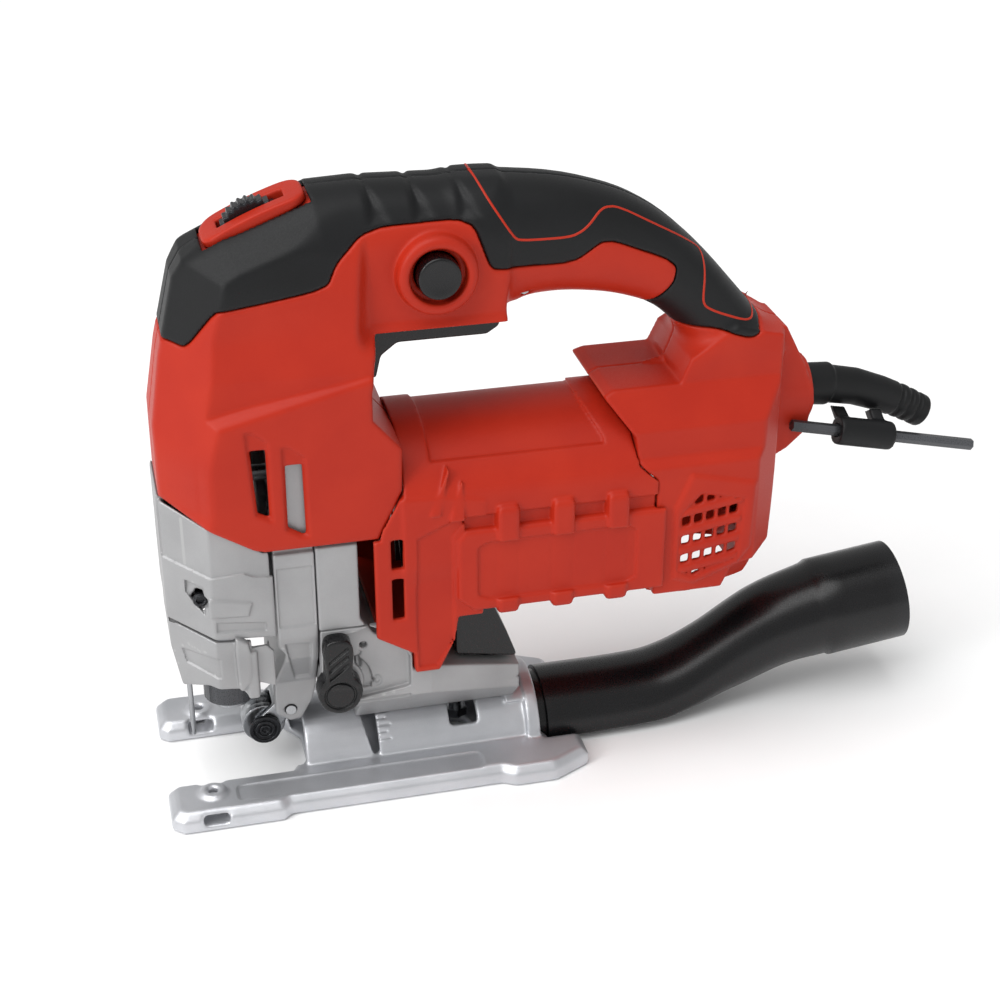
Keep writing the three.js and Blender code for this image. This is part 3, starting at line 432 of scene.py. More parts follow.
def body_outside(s):
    """The whole body without its openings: head, handle and rear, blended."""
    side = np.abs(s.y)
    profile = outline(s.x, s.z, HEAD)
    depth, _ = track(s.x, s.z, FRONT)
    wide = np.interp(s.z.ravel(), *HEAD_HALF_WIDTH).astype(F)[None, None, :]
    wide = wide - F(3.4) * ramp(-s.x, -6, 56) * ramp(-s.z, -212, -190)
    inner = 15.5 - 4.5 * ramp(s.z, 205, 228)
    chamfer = (side - inner - depth) * F(0.7071)
    blunt = 1.2 + 9 * ramp(s.x, -25, 5)
    upper = both(side - wide, chamfer, blunt)
    step = (s.z - F(163.5) - (s.x + F(48)) * F(0.245)) * F(0.8) + (side - F(33.5)) * F(0.6)
    lower = both(both(side - F(33.5), step, 0.8), chamfer, 1.2)
    back = ramp(s.x, -7, 3) * ramp(s.z, 180, 193)
    head = both(either(upper, lower, 0.6), side - F(33.5) + back * 11.8, 2.5)
    for way in (-1, 1):
        head = both(head, plane(s, (-58.4, way * 33, 143.9), (-518, way * 554, 150)), 1.0)
    head = both(head, profile, 1.5 + 5 * ramp(s.z, 214, 228))

    hollow = -outline(s.x, s.z, softened(GRIP_TOP + GRIP_UNDER, rounds=2))
    _, station = track(s.x, s.z, GRIP_SPINE)
    places = np.arange(len(GRIP_SPINE))
    tall = np.interp(station.ravel(), places, GRIP_HALF_HEIGHT).reshape(station.shape).astype(F)
    wide = np.interp(station.ravel(), places, GRIP_HALF_WIDTH).reshape(station.shape).astype(F)
    across = np.maximum(1 - hollow / tall, 0)
    power = 2.5
    grip = ((side / wide) ** power + across ** power) ** (1 / power)
    grip = (grip - 1) * np.minimum(wide, tall)

    half = [(34, 60), (34, 128.6), (31, 132.2), (30.4, 143), (21.5, 157), (20, 180)]
    section = half + [(-y, z) for y, z in reversed(half)]
    rear = both(outline(s.x, s.z, REAR), outline(s.x, s.y, REAR_PLAN), 1.2)
    rear = both(rear, outline(s.y, s.z, section), 1.0)
    pad = both(outline(s.x, s.z, VENT_PAD) + (side - F(34.9)), side - F(34.9), 0.5)
    rear = either(rear, both(pad, slab(s.x, 108, 150)), 0.3)
    turns = np.linspace(0, 2 * math.pi, 24, endpoint=False)
    circle = [(CORD_BOSS * math.cos(a), CORD_BOSS * math.sin(a)) for a in turns]
    boss = both(outline(s.y, s.z - F(CORD_Z), circle), slab(s.x, 150, 175.2), 1.5)
    rear = either(rear, boss, 3.0)
    return either(either(head, grip, 4.5), rear, 5.0)


def body_fields(s):
    """The outside, the soft grip and the hollow red shells, before they are parted into halves."""
    side = np.abs(s.y)
    outside = body_outside(s)
    edge = outline(s.x, s.z, softened(SKIN_EDGE, cut=0.15, rounds=2))
    cover = outside
    for x in (4.5, 20.3, 36.2):
        fall = F(238.5) - s.z
        across = (s.x - F(x) - fall * F(0.32)) * F(0.95)
        bowl = both(np.abs(across) - (0.7 + 0.30 * np.clip(fall, 0, 20)), F(227.5) - s.z, 1.2)
        cover = cover + F(1.2) * ramp(-bowl, -0.8, 2.4)
    cover = both(cover, edge + F(0.15), 0.8)
    cover = less(cover, outside + F(SKIN_DEPTH))
    plastic = less(outside, both(edge - F(0.15), -(outside + F(SKIN_DEPTH + 0.3))), 0.6)

    bx, bz = BUTTON
    boss = both(rod(s, (bx, -60, bz), (bx, -14, bz), 14.5), -s.y - F(27.4), 3.2)
    plastic = either(plastic, boss, 1.2)
    plastic = less(plastic, rod(s, (bx, -60, bz), (bx, -22.6, bz), 10.2), 1.4)
    for slot in FRONT_SLOTS:
        plastic = sunk(plastic, both(outline(s.x, s.z, slot), F(20) - side), 1.0)

    room = outside + F(WALL) + F(SKIN_DEPTH + 0.2) * ramp(-edge, -2, 2) * ramp(-s.x, -165, -150)
    plastic = less(plastic, room)
    for x, z in SCREWS:
        plastic = np.minimum(plastic, both(rod(s, (x, -40, z), (x, 40, z), SCREW_POST), outside + F(0.8)))
    # The handle is thinner than this screw's post, so a boss stands out round its head on the right.
    x, z = SCREWS[2]
    plastic = either(plastic, both(rod(s, (x, 3, z), (x, 16.4, z), 5.7), s.y - F(16.4), 0.6), 1.6)
    openings = [
        both(outline(s.x, s.z, [(-71, 100), (-71, 134), (-56, 127), (-40, 118), (-1, 118), (6, 130), (8, 146),
                                (14, 146), (14, 100)]), outline(s.x, s.y, CASE_PLAN)),
        rod(s, (90, 0, BARREL_Z), (110, 0, BARREL_Z), BARREL_ROOM),
        block(s, (3, 57), (-9.6, 9.6), (178, 200)),
        rod(s, (160, 0, CORD_Z), (190, 0, CORD_Z), 8.4),
        rod(s, (bx, -40, bz), (bx, -14, bz), 8.1),
        rod(s, (9, -13.3, 191), (9, 13.3, 191), TRIGGER_PIN_ROOM),
    ]
    for slot in FRONT_SLOTS:
        hole = np.maximum(outline(s.x, s.z, slot) + F(0.9), s.z - F(slot[0][1] - 7.5))
        openings.append(np.maximum(hole, F(20) - side))
    area = outline(s.x, s.z, VENT_AREA)
    line = F(0.156) * (s.x - F(117))
    pitch_x, pitch_z = VENT_PITCH
    rows = np.abs(np.mod(s.z - line - F(89.1 - 4.07), F(pitch_z)) - F(4.07)) - F(1.85)
    columns = np.abs(np.mod(s.x - F(118.6 - 2.32), F(pitch_x)) - F(2.32)) - F(1.6)
    openings.append(np.maximum(np.maximum(np.maximum(rows, columns), area + F(0.3)), F(25) - side))
    bars = np.maximum(np.abs(np.mod(s.z - line - F(89.1), F(pitch_z)) - F(4.07)) - F(1.5), area)
    plastic = less(plastic, both(np.maximum(area - F(0.6), -bars), F(34.2) - side), 0.3)
    for x, z in SCREWS:
        head, shank = rod(s, (x, 12, z), (x, 40, z), SCREW_HEAD_ROOM), rod(s, (x, -15, z), (x, 14, z), 2.1)
        openings.append(np.minimum(head, shank))
    along, up = tipped(s, BEZEL, BEZEL_SLOPE)
    pocket = np.maximum(np.maximum(slab(along, -20.3, 20.3), slab(s.y, -11.3, 11.3)), F(8.7) - up)
    slot = np.maximum(np.maximum(slab(along, -12.5, 12.5), slab(s.y, -3.7, 3.7)), F(0) - up)
    dial_x, dial_z = DIAL_AXIS
    openings += [pocket, slot, rod(s, (dial_x, -3.7, dial_z), (dial_x, 3.7, dial_z), DIAL_ROOM)]
    for opening in openings:
        plastic = less(plastic, opening, 0.25)
    cover = less(cover, pocket, 0.5)
    cover = less(cover, rod(s, (bx, -40, bz), (bx, -15, bz), 14.8))
    for x, z in SCREWS:
        cover = less(cover, rod(s, (x, 12, z), (x, 40, z), SCREW_HEAD_ROOM))
    return outside, cover, plastic


s = Space(*BODY_BOX, 0.8)
outside, cover, plastic = body_fields(s)
LEFT = s.y + F(HALF_GAP)
RIGHT = F(HALF_GAP) - s.y
skin("left_shell_skin", s, both(plastic, LEFT, 0.3), RED, "housing", ["left_shell"])
skin("right_shell_skin", s, both(plastic, RIGHT, 0.3), RED, "housing", ["right_shell"])
skin("left_grip_skin", s, both(cover, LEFT, 0.3), SOFT, "housing", ["left_overmould"])
skin("right_grip_skin", s, both(cover, RIGHT, 0.3), SOFT, "housing", ["right_overmould"])


# The red line let into the soft grip, round the palm panel, on each side.
STRIPE = [(43.2, 238.5), (46.5, 232), (54.2, 219.8), (56.6, 217.9), (75, 217.3), (80.5, 219.4), (87.5, 225.6),
          (94.5, 224.9), (116, 212.8), (126.6, 205.4), (127.6, 202.5), (125.6, 188.5), (127.5, 184.9),
          (143, 178.2), (147.4, 177.8), (150.6, 182.5)]


def stripe(name, way, s, outside):
    """The red line as a strip laid along the outside of the body, way -1 on the left and 1 on the right."""
    route = np.array(softened(STRIPE, cut=0.2, rounds=2, closed=False))
    length = np.concatenate([[0], np.cumsum(np.hypot(*np.diff(route, axis=0).T))])
    at = np.arange(0, length[-1], 0.7)
    x, z = np.interp(at, length, route[:, 0]), np.interp(at, length, route[:, 1])
    y = np.full(len(at), way * 30.0)
    for _ in range(60):
        p = (np.stack([x, y, z], 1) - s.low) / s.step
        y = y - way * np.clip(sampled(outside, p) * 0.8, -1, 1)
        y = np.where(y * way < 0, 0, y)
    centre = np.stack([x, y, z], 1)
    index = (centre - s.low) / s.step
    out = np.stack([sampled(outside, index + e) - sampled(outside, index - e) for e in np.eye(3) * 0.6], 1)
    out /= np.linalg.norm(out, axis=1, keepdims=True)
    along = np.gradient(centre, axis=0)
    along /= np.linalg.norm(along, axis=1, keepdims=True)
    across = np.cross(along, out)
    profile = [(-0.5, -0.6), (-0.42, 0.1), (-0.2, 0.2), (0.2, 0.2), (0.42, 0.1), (0.5, -0.6)]
    rings = [centre + across * u + out * v for u, v in profile]
    count, sides = len(at), len(profile)
    points = np.stack(rings, 1).reshape(-1, 3)
    faces = [(i * sides + k, i * sides + (k + 1) % sides, (i + 1) * sides + (k + 1) % sides,
              (i + 1) * sides + k) for i in range(count - 1) for k in range(sides)]
    faces += [tuple(range(sides)), tuple(reversed(range((count - 1) * sides, count * sides)))]
    data = bpy.data.meshes.new(name)
    data.from_pydata((points * MM).tolist(), [], faces)
    data.shade_smooth()
    data.materials.append(RED)
    made = linked(name, data)
    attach(made, "housing")


outside = np.ascontiguousarray(np.broadcast_to(outside, (s.x.size, s.y.size, s.z.size)), F)
stripe("left_grip_line", -1, s, outside)
stripe("right_grip_line", 1, s, outside)

# ---------------------------------------------------------------- motor housing

HOUSING_NOSE = [(2, 116), (9, 128), (26, 127), (40, 124), (40, 76), (30.5, 76), (29, 66), (23, 53.6),
                (13.6, 53.6), (13.4, 62), (-0.7, 70.8), (-0.7, 111.9), (1.7, 111.9)]
BARREL_RADIUS = 37.5
LUG_PLACES = (49, 70, 91)
s = Space((-2, -37.5, 52.5), (107.5, 37.5, 151), 0.7)
side = np.abs(s.y)
radius = np.sqrt(s.y ** 2 + (s.z - F(BARREL_Z)) ** 2)
barrel = both(both(radius - F(BARREL_RADIUS), side - F(34.5), 2.0), slab(s.x, 11, 110))
panel = both(slab(s.x, 22, 87.5), both(F(138.6) - s.z, s.x + (s.z - F(138.6)) * F(0.6) - F(88.5)), 0)
barrel = less(barrel, both(panel, F(36.4) - radius), 0.3)
nose = both(outline(s.x, s.z, HOUSING_NOSE), side - F(34), 1.0)
housing = either(barrel, nose, 2.5)
pad = both(outline(s.x, s.z, [(30, 109.5), (33, 113), (110, 113), (110, 79), (36, 79), (30, 84.5)]),
           side - F(36), 1.4)
housing = either(housing, pad, 0.8)
for x in LUG_PLACES:
    lug = both(slab(s.x, x - 4.2, x + 4.2), both(side - F(37.4), slab(s.z, 76.4, 122.5), 3.6), 1.8)
    housing = either(housing, lug, 0.8)
NAME_PANEL = [(37.6, 83.3), (98.6, 83.3), (98.6, 107.9), (37.6, 107.9)]
name_panel = outline(s.x, s.z, softened(NAME_PANEL, cut=0.08, rounds=3))
gutter = both(outline(s.x, s.z, [(33, 113.4), (33, 118.5), (110, 118.5), (110, 113.4)]), F(33) - side)
for x in LUG_PLACES:
    gutter = both(gutter, F(4.6) - np.abs(s.x - F(x)))
housing = less(housing, gutter, 0.5)
name_panel = both(name_panel, F(30) - side)
housing = sunk(housing, name_panel, 1.0, 0.25)
for x in LUG_PLACES:
    housing = less(housing, both(both(name_panel, slab(s.x, x - 5, x + 5)), F(35.0) - side), 0.25)
recess = outline(s.x, s.z, [(15.2, 111.8), (27.3, 117.3), (33, 121), (33, 117), (28.5, 111), (28.5, 66),
                            (22, 56), (15, 56), (14.6, 77.6)])
housing = sunk(housing, both(recess, F(28) - side), 0.8)
for tip in ([(20.5, 121), (23.5, 121), (27.5, 137)], [(27.5, 118.5), (32.5, 118.5), (32.2, 132)]):
    fin = both(outline(s.x, s.z, tip) - F(0.4), side - F(36.2) + (s.z - F(119)) * F(0.2), 0.6)
    housing = either(housing, fin, 0.6)
NOSE_ROOM = [(-5, 72.5), (13, 66), (25, 66), (28, 79), (40, 79), (40, 118), (-5, 118)]
nose_room = both(outline(s.x, s.z, NOSE_ROOM), side - F(31.4))
inner = np.minimum(both(radius - F(BARREL_ROOM), slab(s.x, 5, 120)), nose_room)
housing = less(housing, inner)
# The wall that carries the rear bearing, with four openings round it for the cooling air.
wall = both(both(radius - F(33), slab(s.x, 89.5, 99.4)), F(11.3) - radius)
for k in range(4):
    a = math.pi / 4 + k * math.pi / 2
    u = -s.y * F(math.sin(a)) + (s.z - F(BARREL_Z)) * F(math.cos(a))
    v = s.y * F(math.cos(a)) + (s.z - F(BARREL_Z)) * F(math.sin(a))
    wall = less(wall, both(slab(v, -7, 7), slab(u, 16.5, 27.5), 2.0), 0.5)
housing = np.minimum(housing, wall)
for z0, z1 in ((78, 95.6), (99.5, 112)):
    housing = less(housing, both(both(slab(s.x, 5.6, 10), slab(s.z, z0, z1), 0.8), F(20) - side), 0.4)
seam = body_outside(s) - F(0.35)
housing = less(housing, seam, 0.6)
skin("motor_housing_skin", s, housing, RED, "housing", ["motor_housing"])

# ---------------------------------------------------------------- castings


def eased(node, step, rounds=1):
    """A CAD node's field, with its edges eased, and the space it is in."""
    s = around(node, step)
    return s, from_cad(s, node, rounds)


s, nose = eased("nose_cover", 0.5, 2)
side = np.abs(s.y)
NOSE_PAD = [(-77, 107.5), (-71, 105.9), (-59.7, 103.1), (-48, 103.9), (-44.4, 102.2), (-37, 101.2), (-37, 70),
            (-77, 70)]
NOSE_FACET = [(-68.6, 99.8), (-62.7, 98.6), (-62.5, 86.7), (-68.7, 94.6)]
NOSE_GROOVE = [(-59, 84.6), (-41, 82.4), (-41, 79), (-59, 80.6)]
nose = lowered(nose, np.minimum(outline(s.x, s.z, NOSE_PAD), side - F(14)), 0.7)
nose = sunk(nose, both(outline(s.x, s.z, NOSE_FACET), F(16) - side), 0.9)
rib = both(outline(s.x, s.z, [(-61.4, 95), (-45.7, 91.8), (-47.2, 86.3), (-61.4, 87.3)]), side - F(31.9), 0.6)
nose = either(nose, both(rib, F(29) - side), 0.4)
nose = sunk(nose, both(outline(s.x, s.z, NOSE_GROOVE), F(20) - side), 0.7)
skin("nose_cover_skin", s, nose, PAINTED, "housing", ["nose_cover"])

s, plate = eased("front_bearing_plate", 0.55, 1)
side = np.abs(s.y)
leg = outline(s.x, s.z, [(-34.6, 71.5), (-25, 70.5), (-24.6, 46), (-30.4, 47.5)])
plate = sunk(plate, both(leg, F(18) - side), 1.1)
plate = sunk(plate, both(slab(s.x, -36.4, -23.2), both(slab(s.z, 79, 104), F(20) - side)), 0.6)
skin("bearing_plate_skin", s, plate, PAINTED, "housing", ["front_bearing_plate"])

SELECTOR = (-15.8, 50)
SEAT = [(-19.9, 72.5), (-9.9, 72.3), (-1.1, 75.6), (12.4, 62), (12.4, 46.5), (9.7, 45.6), (-21.3, 41.4)]
s, case = eased("gear_case", 0.55, 1)
side = np.abs(s.y)
swing = np.sqrt((s.x - F(SELECTOR[0])) ** 2 + (s.z - F(SELECTOR[1])) ** 2)
seat = outline(s.x, s.z, softened(SEAT, rounds=1))
rim = both(block(s, (-21.6, 12.2), (-30.9, -28.3), (42.5, 75)), -seat, 0.4)
case = either(case, rim, 0.3)
track_room = both(slab(swing, 10.2, 13.4), both(s.x - F(-1), F(46.5) - s.z))
track_room = both(track_room, F(-8.8) - s.x)
case = sunk(case, both(track_room, s.y - F(-26)), 1.6)
case = sunk(case, rod(s, (-5.4, -40, 65.7), (-5.4, -20, 65.7), 1.4), 2.0)
zero = np.abs(np.sqrt((s.x - F(-0.5)) ** 2 + ((s.z - F(49.1)) * F(0.75)) ** 2) - F(1.3)) - F(0.45)
stroke, _ = track(s.x, s.z, [(-8.2, 60.1), (-6.6, 62.9)])
case = sunk(case, both(np.minimum(stroke - F(0.45), zero) + 0 * s.y, s.y + F(26)), 0.5, 0.1)
for z0, z1 in ((97, 101), (84, 88)):
    case = sunk(case, both(slab(s.x, -5.2, -1.8), both(slab(s.z, z0, z1), F(20) - side)), 0.8)
skin("gear_case_skin", s, case, PAINTED, "housing", ["gear_case"])

s, lever = eased("blade_release_lever", 0.45, 2)
LEVER_TAB = [(-53.4, 78.4), (-50.8, 77.3), (-47.6, 74.9), (-47.6, 60), (-51.1, 54.6), (-53, 56)]
tab = both(outline(s.x, s.z, softened(LEVER_TAB, rounds=1)), slab(s.y, -33.4, -29.4), 1.2)
lever = sunk(lever, both(outline(s.x, s.z, [(-72.5, 72.5), (-58.8, 69.2), (-58.8, 60.2), (-70.5, 63.5)]),
                         F(8) - np.abs(s.y)), 0.7)
lever = either(lever, both(tab, F(54) - s.z), 0.6)
LEVER_PLAN = [(-47, -31.4), (-60, -31.1), (-75.5, -16.2), (-75.5, 16.2), (-60, 30.5), (-47, 30.5),
              (-47, 28.2), (-59, 28.2), (-73, 15), (-73, -15), (-59, -28.6), (-47, -29)]
TOP_EDGE = [(-76, 80.1), (-59, 76.1), (-47, 75), (-47, 69), (-76, 69)]
lever = either(lever, both(outline(s.x, s.z, TOP_EDGE), outline(s.x, s.y, LEVER_PLAN), 0.4), 0.3)
REACH = [(-50, 72), (-41.4, 72.4), (-38.9, 69.6), (-38.9, 54.4), (-45.6, 57.2), (-50, 57)]
lever = either(lever, both(outline(s.x, s.z, REACH), slab(s.y, -31.2, -29.2), 0.5), 0.4)
skin("release_lever_skin", s, lever, PAINTED, "lever", ["blade_release_lever"])

low, high = (np.array(c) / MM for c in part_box("orbit_selector"))
s = around("orbit_selector", 0.42, 1.5)
top = high[2]
HANDLE = [(-21.6, top - 5), (-20, top), (-12.2, top), (-9.8, top - 5), (-11.3, 58), (-7.6, 54), (-7, 50),
          (-9.5, 43.8), (-15.8, 41.2), (-22, 43.8), (-24.6, 50), (-23.6, 54.6), (-20.4, 58.5)]
knob = both(outline(s.x, s.z, softened(HANDLE, rounds=2)), slab(s.y, -37.4, -28.7), 1.6)
knob = both(knob, -(s.y + F(37.4)) - F(2.6) * (1 - ramp(s.z, 55, 63)) * ramp(s.z, 52, 57), 1.0)
for z in (60.5, 64, 67.5):
    slant = s.z - (s.x - F(SELECTOR[0])) * F(0.8)
    groove = both(slab(slant, z - 0.75, z + 0.75), slab(s.x, -19.6, -12.2), 0.4)
    knob = less(knob, both(groove, s.y + F(36.3)), 0.5)
hub = np.sqrt((s.x - F(SELECTOR[0])) ** 2 + (s.z - F(SELECTOR[1])) ** 2)
knob = less(knob, both(slab(hub, 5.2, 6.1), s.y + F(36.4)), 0.4)
skin("orbit_selector_skin", s, knob, BLACK, "selector", ["orbit_selector"])

# ---------------------------------------------------------------- base plate, and pieces eased from the CAD

TILT_Z = 4
QUADRANT = 20
TICK_DEGREES = 7.5
s, base = eased("base_plate", 0.75, 1)
radial = np.sqrt(s.y ** 2 + (s.z - F(TILT_Z)) ** 2)
turn = np.arctan2(s.y, s.z - F(TILT_Z))
for k in range(-8, 9):
    off = np.abs(turn - F(math.radians(TICK_DEGREES * k))) * F(QUADRANT)
    tick = both(off - F(0.42), slab(s.x, 1, 4.8 + 1.4 * (k % 2 == 0)))
    base = less(base, both(tick, F(20.3) - radial), 0.1)
off = np.abs(np.abs(turn) - F(0.56)) * F(QUADRANT)
lug = both(both(slab(s.x, 53, 60.4), off - F(3.2), 0.8), radial - F(22.4), 0.6)
base = either(base, both(lug, F(20) - radial), 0.3)
side = np.abs(s.y)
arm = both(slab(side, 26.5, 36.2), slab(s.x, -56.5, 40), 3)
base = sunk(base, both(arm, F(6.9) - s.z), 0.55)
skin("base_plate_skin", s, base, CAST, "base", ["base_plate"])

for node, step, rounds, finish, body in (
        ("roller_fork", 0.4, 2, STEEL, "fork"), ("guide_roller", 0.35, 1, STEEL, "roller"),
        ("finger_guard", 0.3, 1, STEEL, "housing"), ("duct_cover", 0.5, 3, BLACK, "housing"),
        ("trigger", 0.42, 4, BLACK, "trigger")):
    s, field = eased(node, step, rounds)
    skin(node + "_skin", s, field, finish, body, [node])

s = around("roller_pin", 0.3, 4.0)
cap = from_cad(s, "roller_pin")
low, high = (np.array(c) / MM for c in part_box("roller_pin"))
ring = np.sqrt((s.x - F((low[0] + high[0]) / 2)) ** 2 + (s.z - F((low[2] + high[2]) / 2)) ** 2)
cap = either(cap, both(ring - F(6.2), slab(s.y, low[1], low[1] + 1.7), 0.6), 0.2)
for start, end in ((2.2, 2.7), (4.0, 4.6), (-1, 1.1)):
    cap = less(cap, both(slab(ring, start, end), s.y - F(low[1] + 0.7)), 0.2)
skin("roller_pin_skin", s, cap, DARK, "fork", ["roller_pin"])

NOSE_SCREW = (-64, 92.5)
for name, way in (("left", -1), ("right", 1)):
    s, screw = eased(f"{name}_nose_screw", 0.25, 1)
    turn = np.arctan2(s.z - F(NOSE_SCREW[1]), s.x - F(NOSE_SCREW[0]))
    spread = np.sqrt((s.z - F(NOSE_SCREW[1])) ** 2 + (s.x - F(NOSE_SCREW[0])) ** 2)
    flat = spread * np.cos(np.mod(turn, F(math.pi / 3)) - F(math.pi / 6)) - F(1.35)
    screw = less(screw, both(flat, F(25.3) - s.y * F(way)), 0.15)
    skin(f"{name}_nose_screw_skin", s, screw, DARK, "housing", [f"{name}_nose_screw"])

# ---------------------------------------------------------------- controls

s, bezel = eased("dial_bezel", 0.4, 2)
along, up = tipped(s, BEZEL, BEZEL_SLOPE)
bezel = both(bezel, both(slab(along, -20.0, 20.0), slab(s.y, -11.0, 11.0), 9), 1.5)
bezel = both(bezel, up - F(13.6) + (along / F(20)) ** 2 * F(1.3), 1.2)
skin("dial_bezel_skin", s, bezel, RED, "housing", ["dial_bezel"])

s = around("speed_dial", 0.3)
low, high = (np.array(c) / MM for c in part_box("speed_dial"))
cx, cz = F((low[0] + high[0]) / 2), F((low[2] + high[2]) / 2)
rim = np.sqrt((s.x - cx) ** 2 + (s.z - cz) ** 2)
knurl = F(0.45) * (1 + np.cos(F(30) * np.arctan2(s.z - cz, s.x - cx)))
dial = both(rim - F(high[0] - low[0]) / 2 + knurl, slab(s.y, low[1], high[1]), 0.9)
dial = less(dial, rim - F(2.3))
skin("speed_dial_skin", s, dial, DARK, "dial", ["speed_dial"])

s = around("lock_button", 0.4)
off = np.sqrt((s.x - F(BUTTON[0])) ** 2 + (s.z - F(BUTTON[1])) ** 2)
button = both(off - F(7.75), slab(s.y, -29.2, -19.5), 1.6)
button = less(button, np.sqrt(off ** 2 + (s.y + F(29.2 + 31.2)) ** 2) - F(32), 0.5)
button = either(button, both(off - F(4), slab(s.y, -20, -15)), 0.3)
skin("lock_button_skin", s, button, BLACK, "button", ["lock_button"])

# ---------------------------------------------------------------- cord guard and dust pipe

# Along the cord guard: x, z and radius. Along the pipe: x, z, half width, height above and below, lean.
CORD = [(163, CORD_Z, 8.1), (172, CORD_Z, 8.1), (185, 140.3, 8.4), (186.4, 140, 7.5), (197, 137.8, 7.3),
        (208, 133.6, 7), (218, 128.8, 6.8), (227.5, 123.4, 6.5)]
s, guard = eased("cord_guard", 0.5, 2)
off, station = track(s.x, s.z, [(x, z) for x, z, _ in CORD])
girth = np.interp(station.ravel(), range(len(CORD)), [r for _, _, r in CORD]).reshape(station.shape).astype(F)
off = np.sqrt(off ** 2 + s.y ** 2)
tube = off - girth
for place in (5.7, 6.1, 6.5):
    tube = tube + F(0.7) * ramp(0.12 - np.abs(station - F(place)), 0, 0.08)
tip = plane(s, (227.3, 0, 123.5), (0.87, 0, -0.49))
tube = both(both(tube, tip, 1.0), F(163) - s.x)
guard = np.where(off - girth < F(1.2), tube, np.minimum(guard, np.maximum(tube, off - girth)))
guard = either(guard, rod(s, (185, -15, 127.0), (207.5, -15, 122.0), 5.3), 1.5)
guard = less(guard, off - F(3.7), 0.4)
guard = less(guard, rod(s, (178, -15, 128.6), (215, -15, 120.3), 2.6), 0.3)
skin("cord_guard_skin", s, guard, SOFT, "housing", ["cord_guard"])

PIPE_SOCKET = [(57, 4.2, 17.8, 17.6, 1.2, 0), (69.6, 4.2, 17.8, 17.6, 1.2, 0)]
PIPE_BEND = [(70, 4.6, 19.6, 18.6, 1.9, 0), (110, 6, 19.2, 17.6, 3.2, 4), (128, 11, 18.2, 15.8, 8.2, 18),
             (146, 20, 17.2, 15.6, 14.6, 33), (168, 31.5, 18.4, 17.6, 17.6, 24),
             (188, 37, 19.6, 19.4, 19.4, 10)]
PIPE_SPIGOT = [(190, 37.3, 20.5, 20.5, 20.5, 8), (222.5, 41.5, 20.5, 20.5, 20.5, 7)]
PIPE_WALL = 1.8


def through(rows, parts):
    """A smooth run of stations through the ones given."""
    rows = np.array(rows, float)
    ends = np.concatenate([[2 * rows[0] - rows[1]], rows, [2 * rows[-1] - rows[-2]]])
    made = []
    for i in range(len(rows) - 1):
        a, b, c, d = ends[i:i + 4]
        for t in np.linspace(0, 1, parts, endpoint=False):
            made.append(0.5 * (2 * b + (c - a) * t + (2 * a - 5 * b + 4 * c - d) * t ** 2
                               + (3 * b - a - 3 * c + d) * t ** 3))
    return made + [rows[-1]]


def pipe_ring(row, wall, sides=72):
    """One ring of the pipe, a wall's thickness inside its outer surface."""
    x, z, wide, rise, fall, lean = row
    angle = np.arange(sides) * 2 * math.pi / sides
    tilt = math.radians(lean)
    tall = np.where(np.sin(angle) > 0, rise - wall, max(fall - wall, 0.2))
    bend = 0.35 + 0.65 * float(np.clip((fall - 5) / 9, 0, 1))
    power = np.where(np.sin(angle) > 0, 1, bend)
    v = tall * np.sign(np.sin(angle)) * np.abs(np.sin(angle)) ** power
    return np.stack([x - v * math.sin(tilt), (wide - wall) * np.cos(angle), z + v * math.cos(tilt)], 1)


def tube_of(name, rings, finish, body, replaces):
    """A closed body from rings that run out along its outside and back along its inside."""
    points = np.concatenate(rings)
    count, sides = len(rings), len(rings[0])
    faces = [(i * sides + k, i * sides + (k + 1) % sides, (i + 1) % count * sides + (k + 1) % sides,
              (i + 1) % count * sides + k) for i in range(count) for k in range(sides)]
    data = bpy.data.meshes.new(name)
    data.from_pydata((points * MM).tolist(), [], faces)
    data.shade_smooth()
    data.set_sharp_from_angle(angle=math.radians(38))
    data.materials.append(finish)
    made = linked(name, data)
    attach(made, body)
    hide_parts(*replaces)


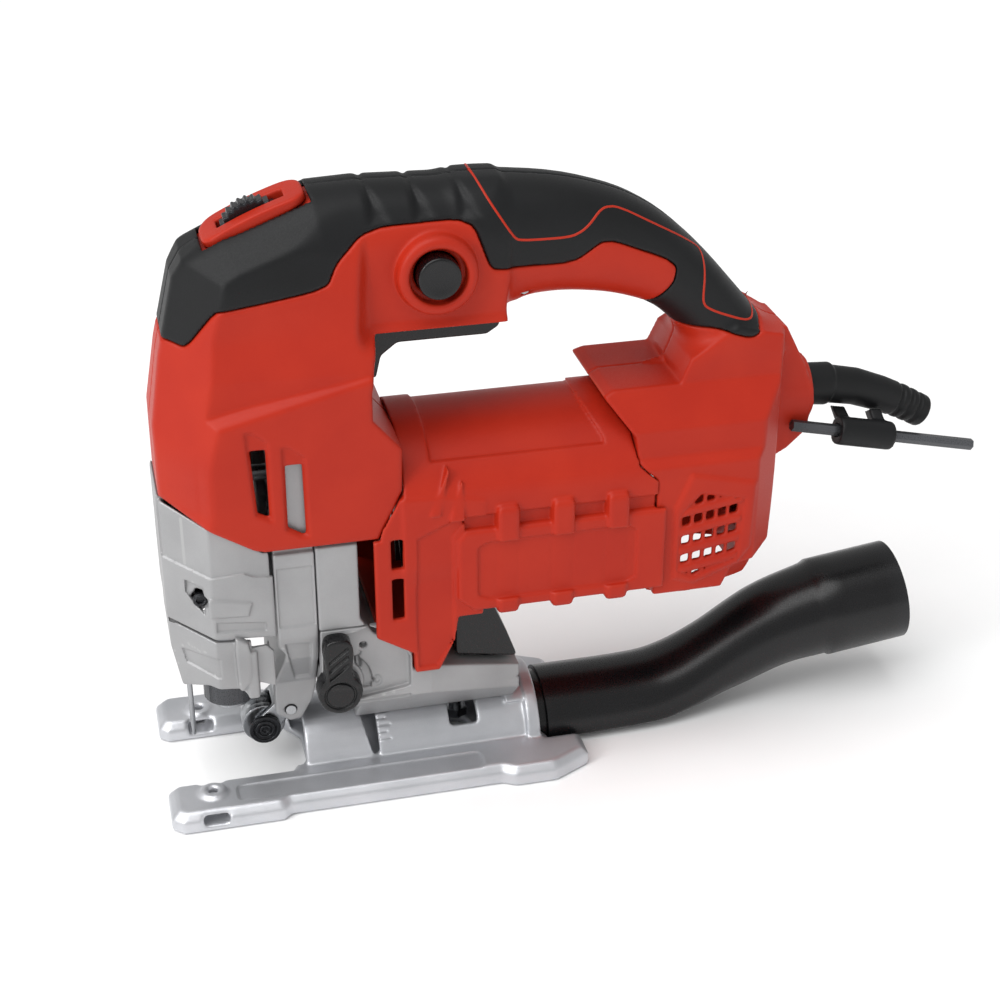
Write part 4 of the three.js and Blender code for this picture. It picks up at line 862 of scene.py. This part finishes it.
stations = [*through(PIPE_SOCKET, 3), *through(PIPE_BEND, 9), *through(PIPE_SPIGOT, 4)]
rings = [pipe_ring(row, 0) for row in stations] + [pipe_ring(row, PIPE_WALL) for row in reversed(stations)]
for ring in rings:
    ring[:, 2] = np.maximum(ring[:, 2], 3.0)
tube_of("dust_pipe_skin", rings, BLACK, "pipe", ["dust_pipe"])

# ---------------------------------------------------------------- camera, light and floor

camera = linked("camera", bpy.data.cameras.new("camera"))
camera.data.lens = 67.83
camera.data.sensor_width = 36
camera.data.clip_end = 100
camera.matrix_world = Matrix((
    (0.97187, 0.11220, -0.20706, -0.095796),
    (-0.23551, 0.46250, -0.85477, -0.620184),
    (-0.00014, 0.87949, 0.47591, 0.450317),
    (0, 0, 0, 1)))
bpy.context.scene.camera = camera

world = bpy.data.worlds.new("studio")
world.use_nodes = True
world.node_tree.nodes["Background"].inputs["Color"].default_value = (1, 1, 1, 1)
world.node_tree.nodes["Background"].inputs["Strength"].default_value = 0.5
bpy.context.scene.world = world
bpy.context.scene.view_settings.view_transform = "Standard"


def lamp(name, place, target, size, power):
    light = bpy.data.lights.new(name, "AREA")
    light.shape = "RECTANGLE"
    light.size, light.size_y = size
    light.energy = power
    made = linked(name, light)
    made.location = place
    made.rotation_euler = (Vector(target) - Vector(place)).to_track_quat("-Z", "Y").to_euler()


lamp("key", (-1.3, -0.75, 0.85), (-0.02, 0, 0.13), (0.5, 0.5), 9)
lamp("fill", (1.2, -1.2, 0.6), (0.05, 0, 0.12), (0.9, 0.9), 1.5)
overhead = bpy.data.lights.new("overhead", "SUN")
overhead.energy = 2.1
overhead.angle = math.radians(55)
overhead_lamp = linked("overhead", overhead)
overhead_lamp.rotation_euler = Vector((0.42, 0.2, -1)).to_track_quat("-Z", "Y").to_euler()

floor_mesh = bpy.data.meshes.new("floor")
FLOOR_REACH = 40
corners = [(x * FLOOR_REACH, y * FLOOR_REACH, 0) for x, y in ((-1, -1), (1, -1), (1, 1), (-1, 1))]
floor_mesh.from_pydata(corners, [], [(0, 1, 2, 3)])
floor = linked("floor", floor_mesh)
floor.location.z = -0.0002
PAPER = finish_of("floor_paper", (0.95, 0.95, 0.95), (0.94, 0.94, 0.94), 0.8, grain=2, depth=0.02)
floor_mesh.materials.append(PAPER)
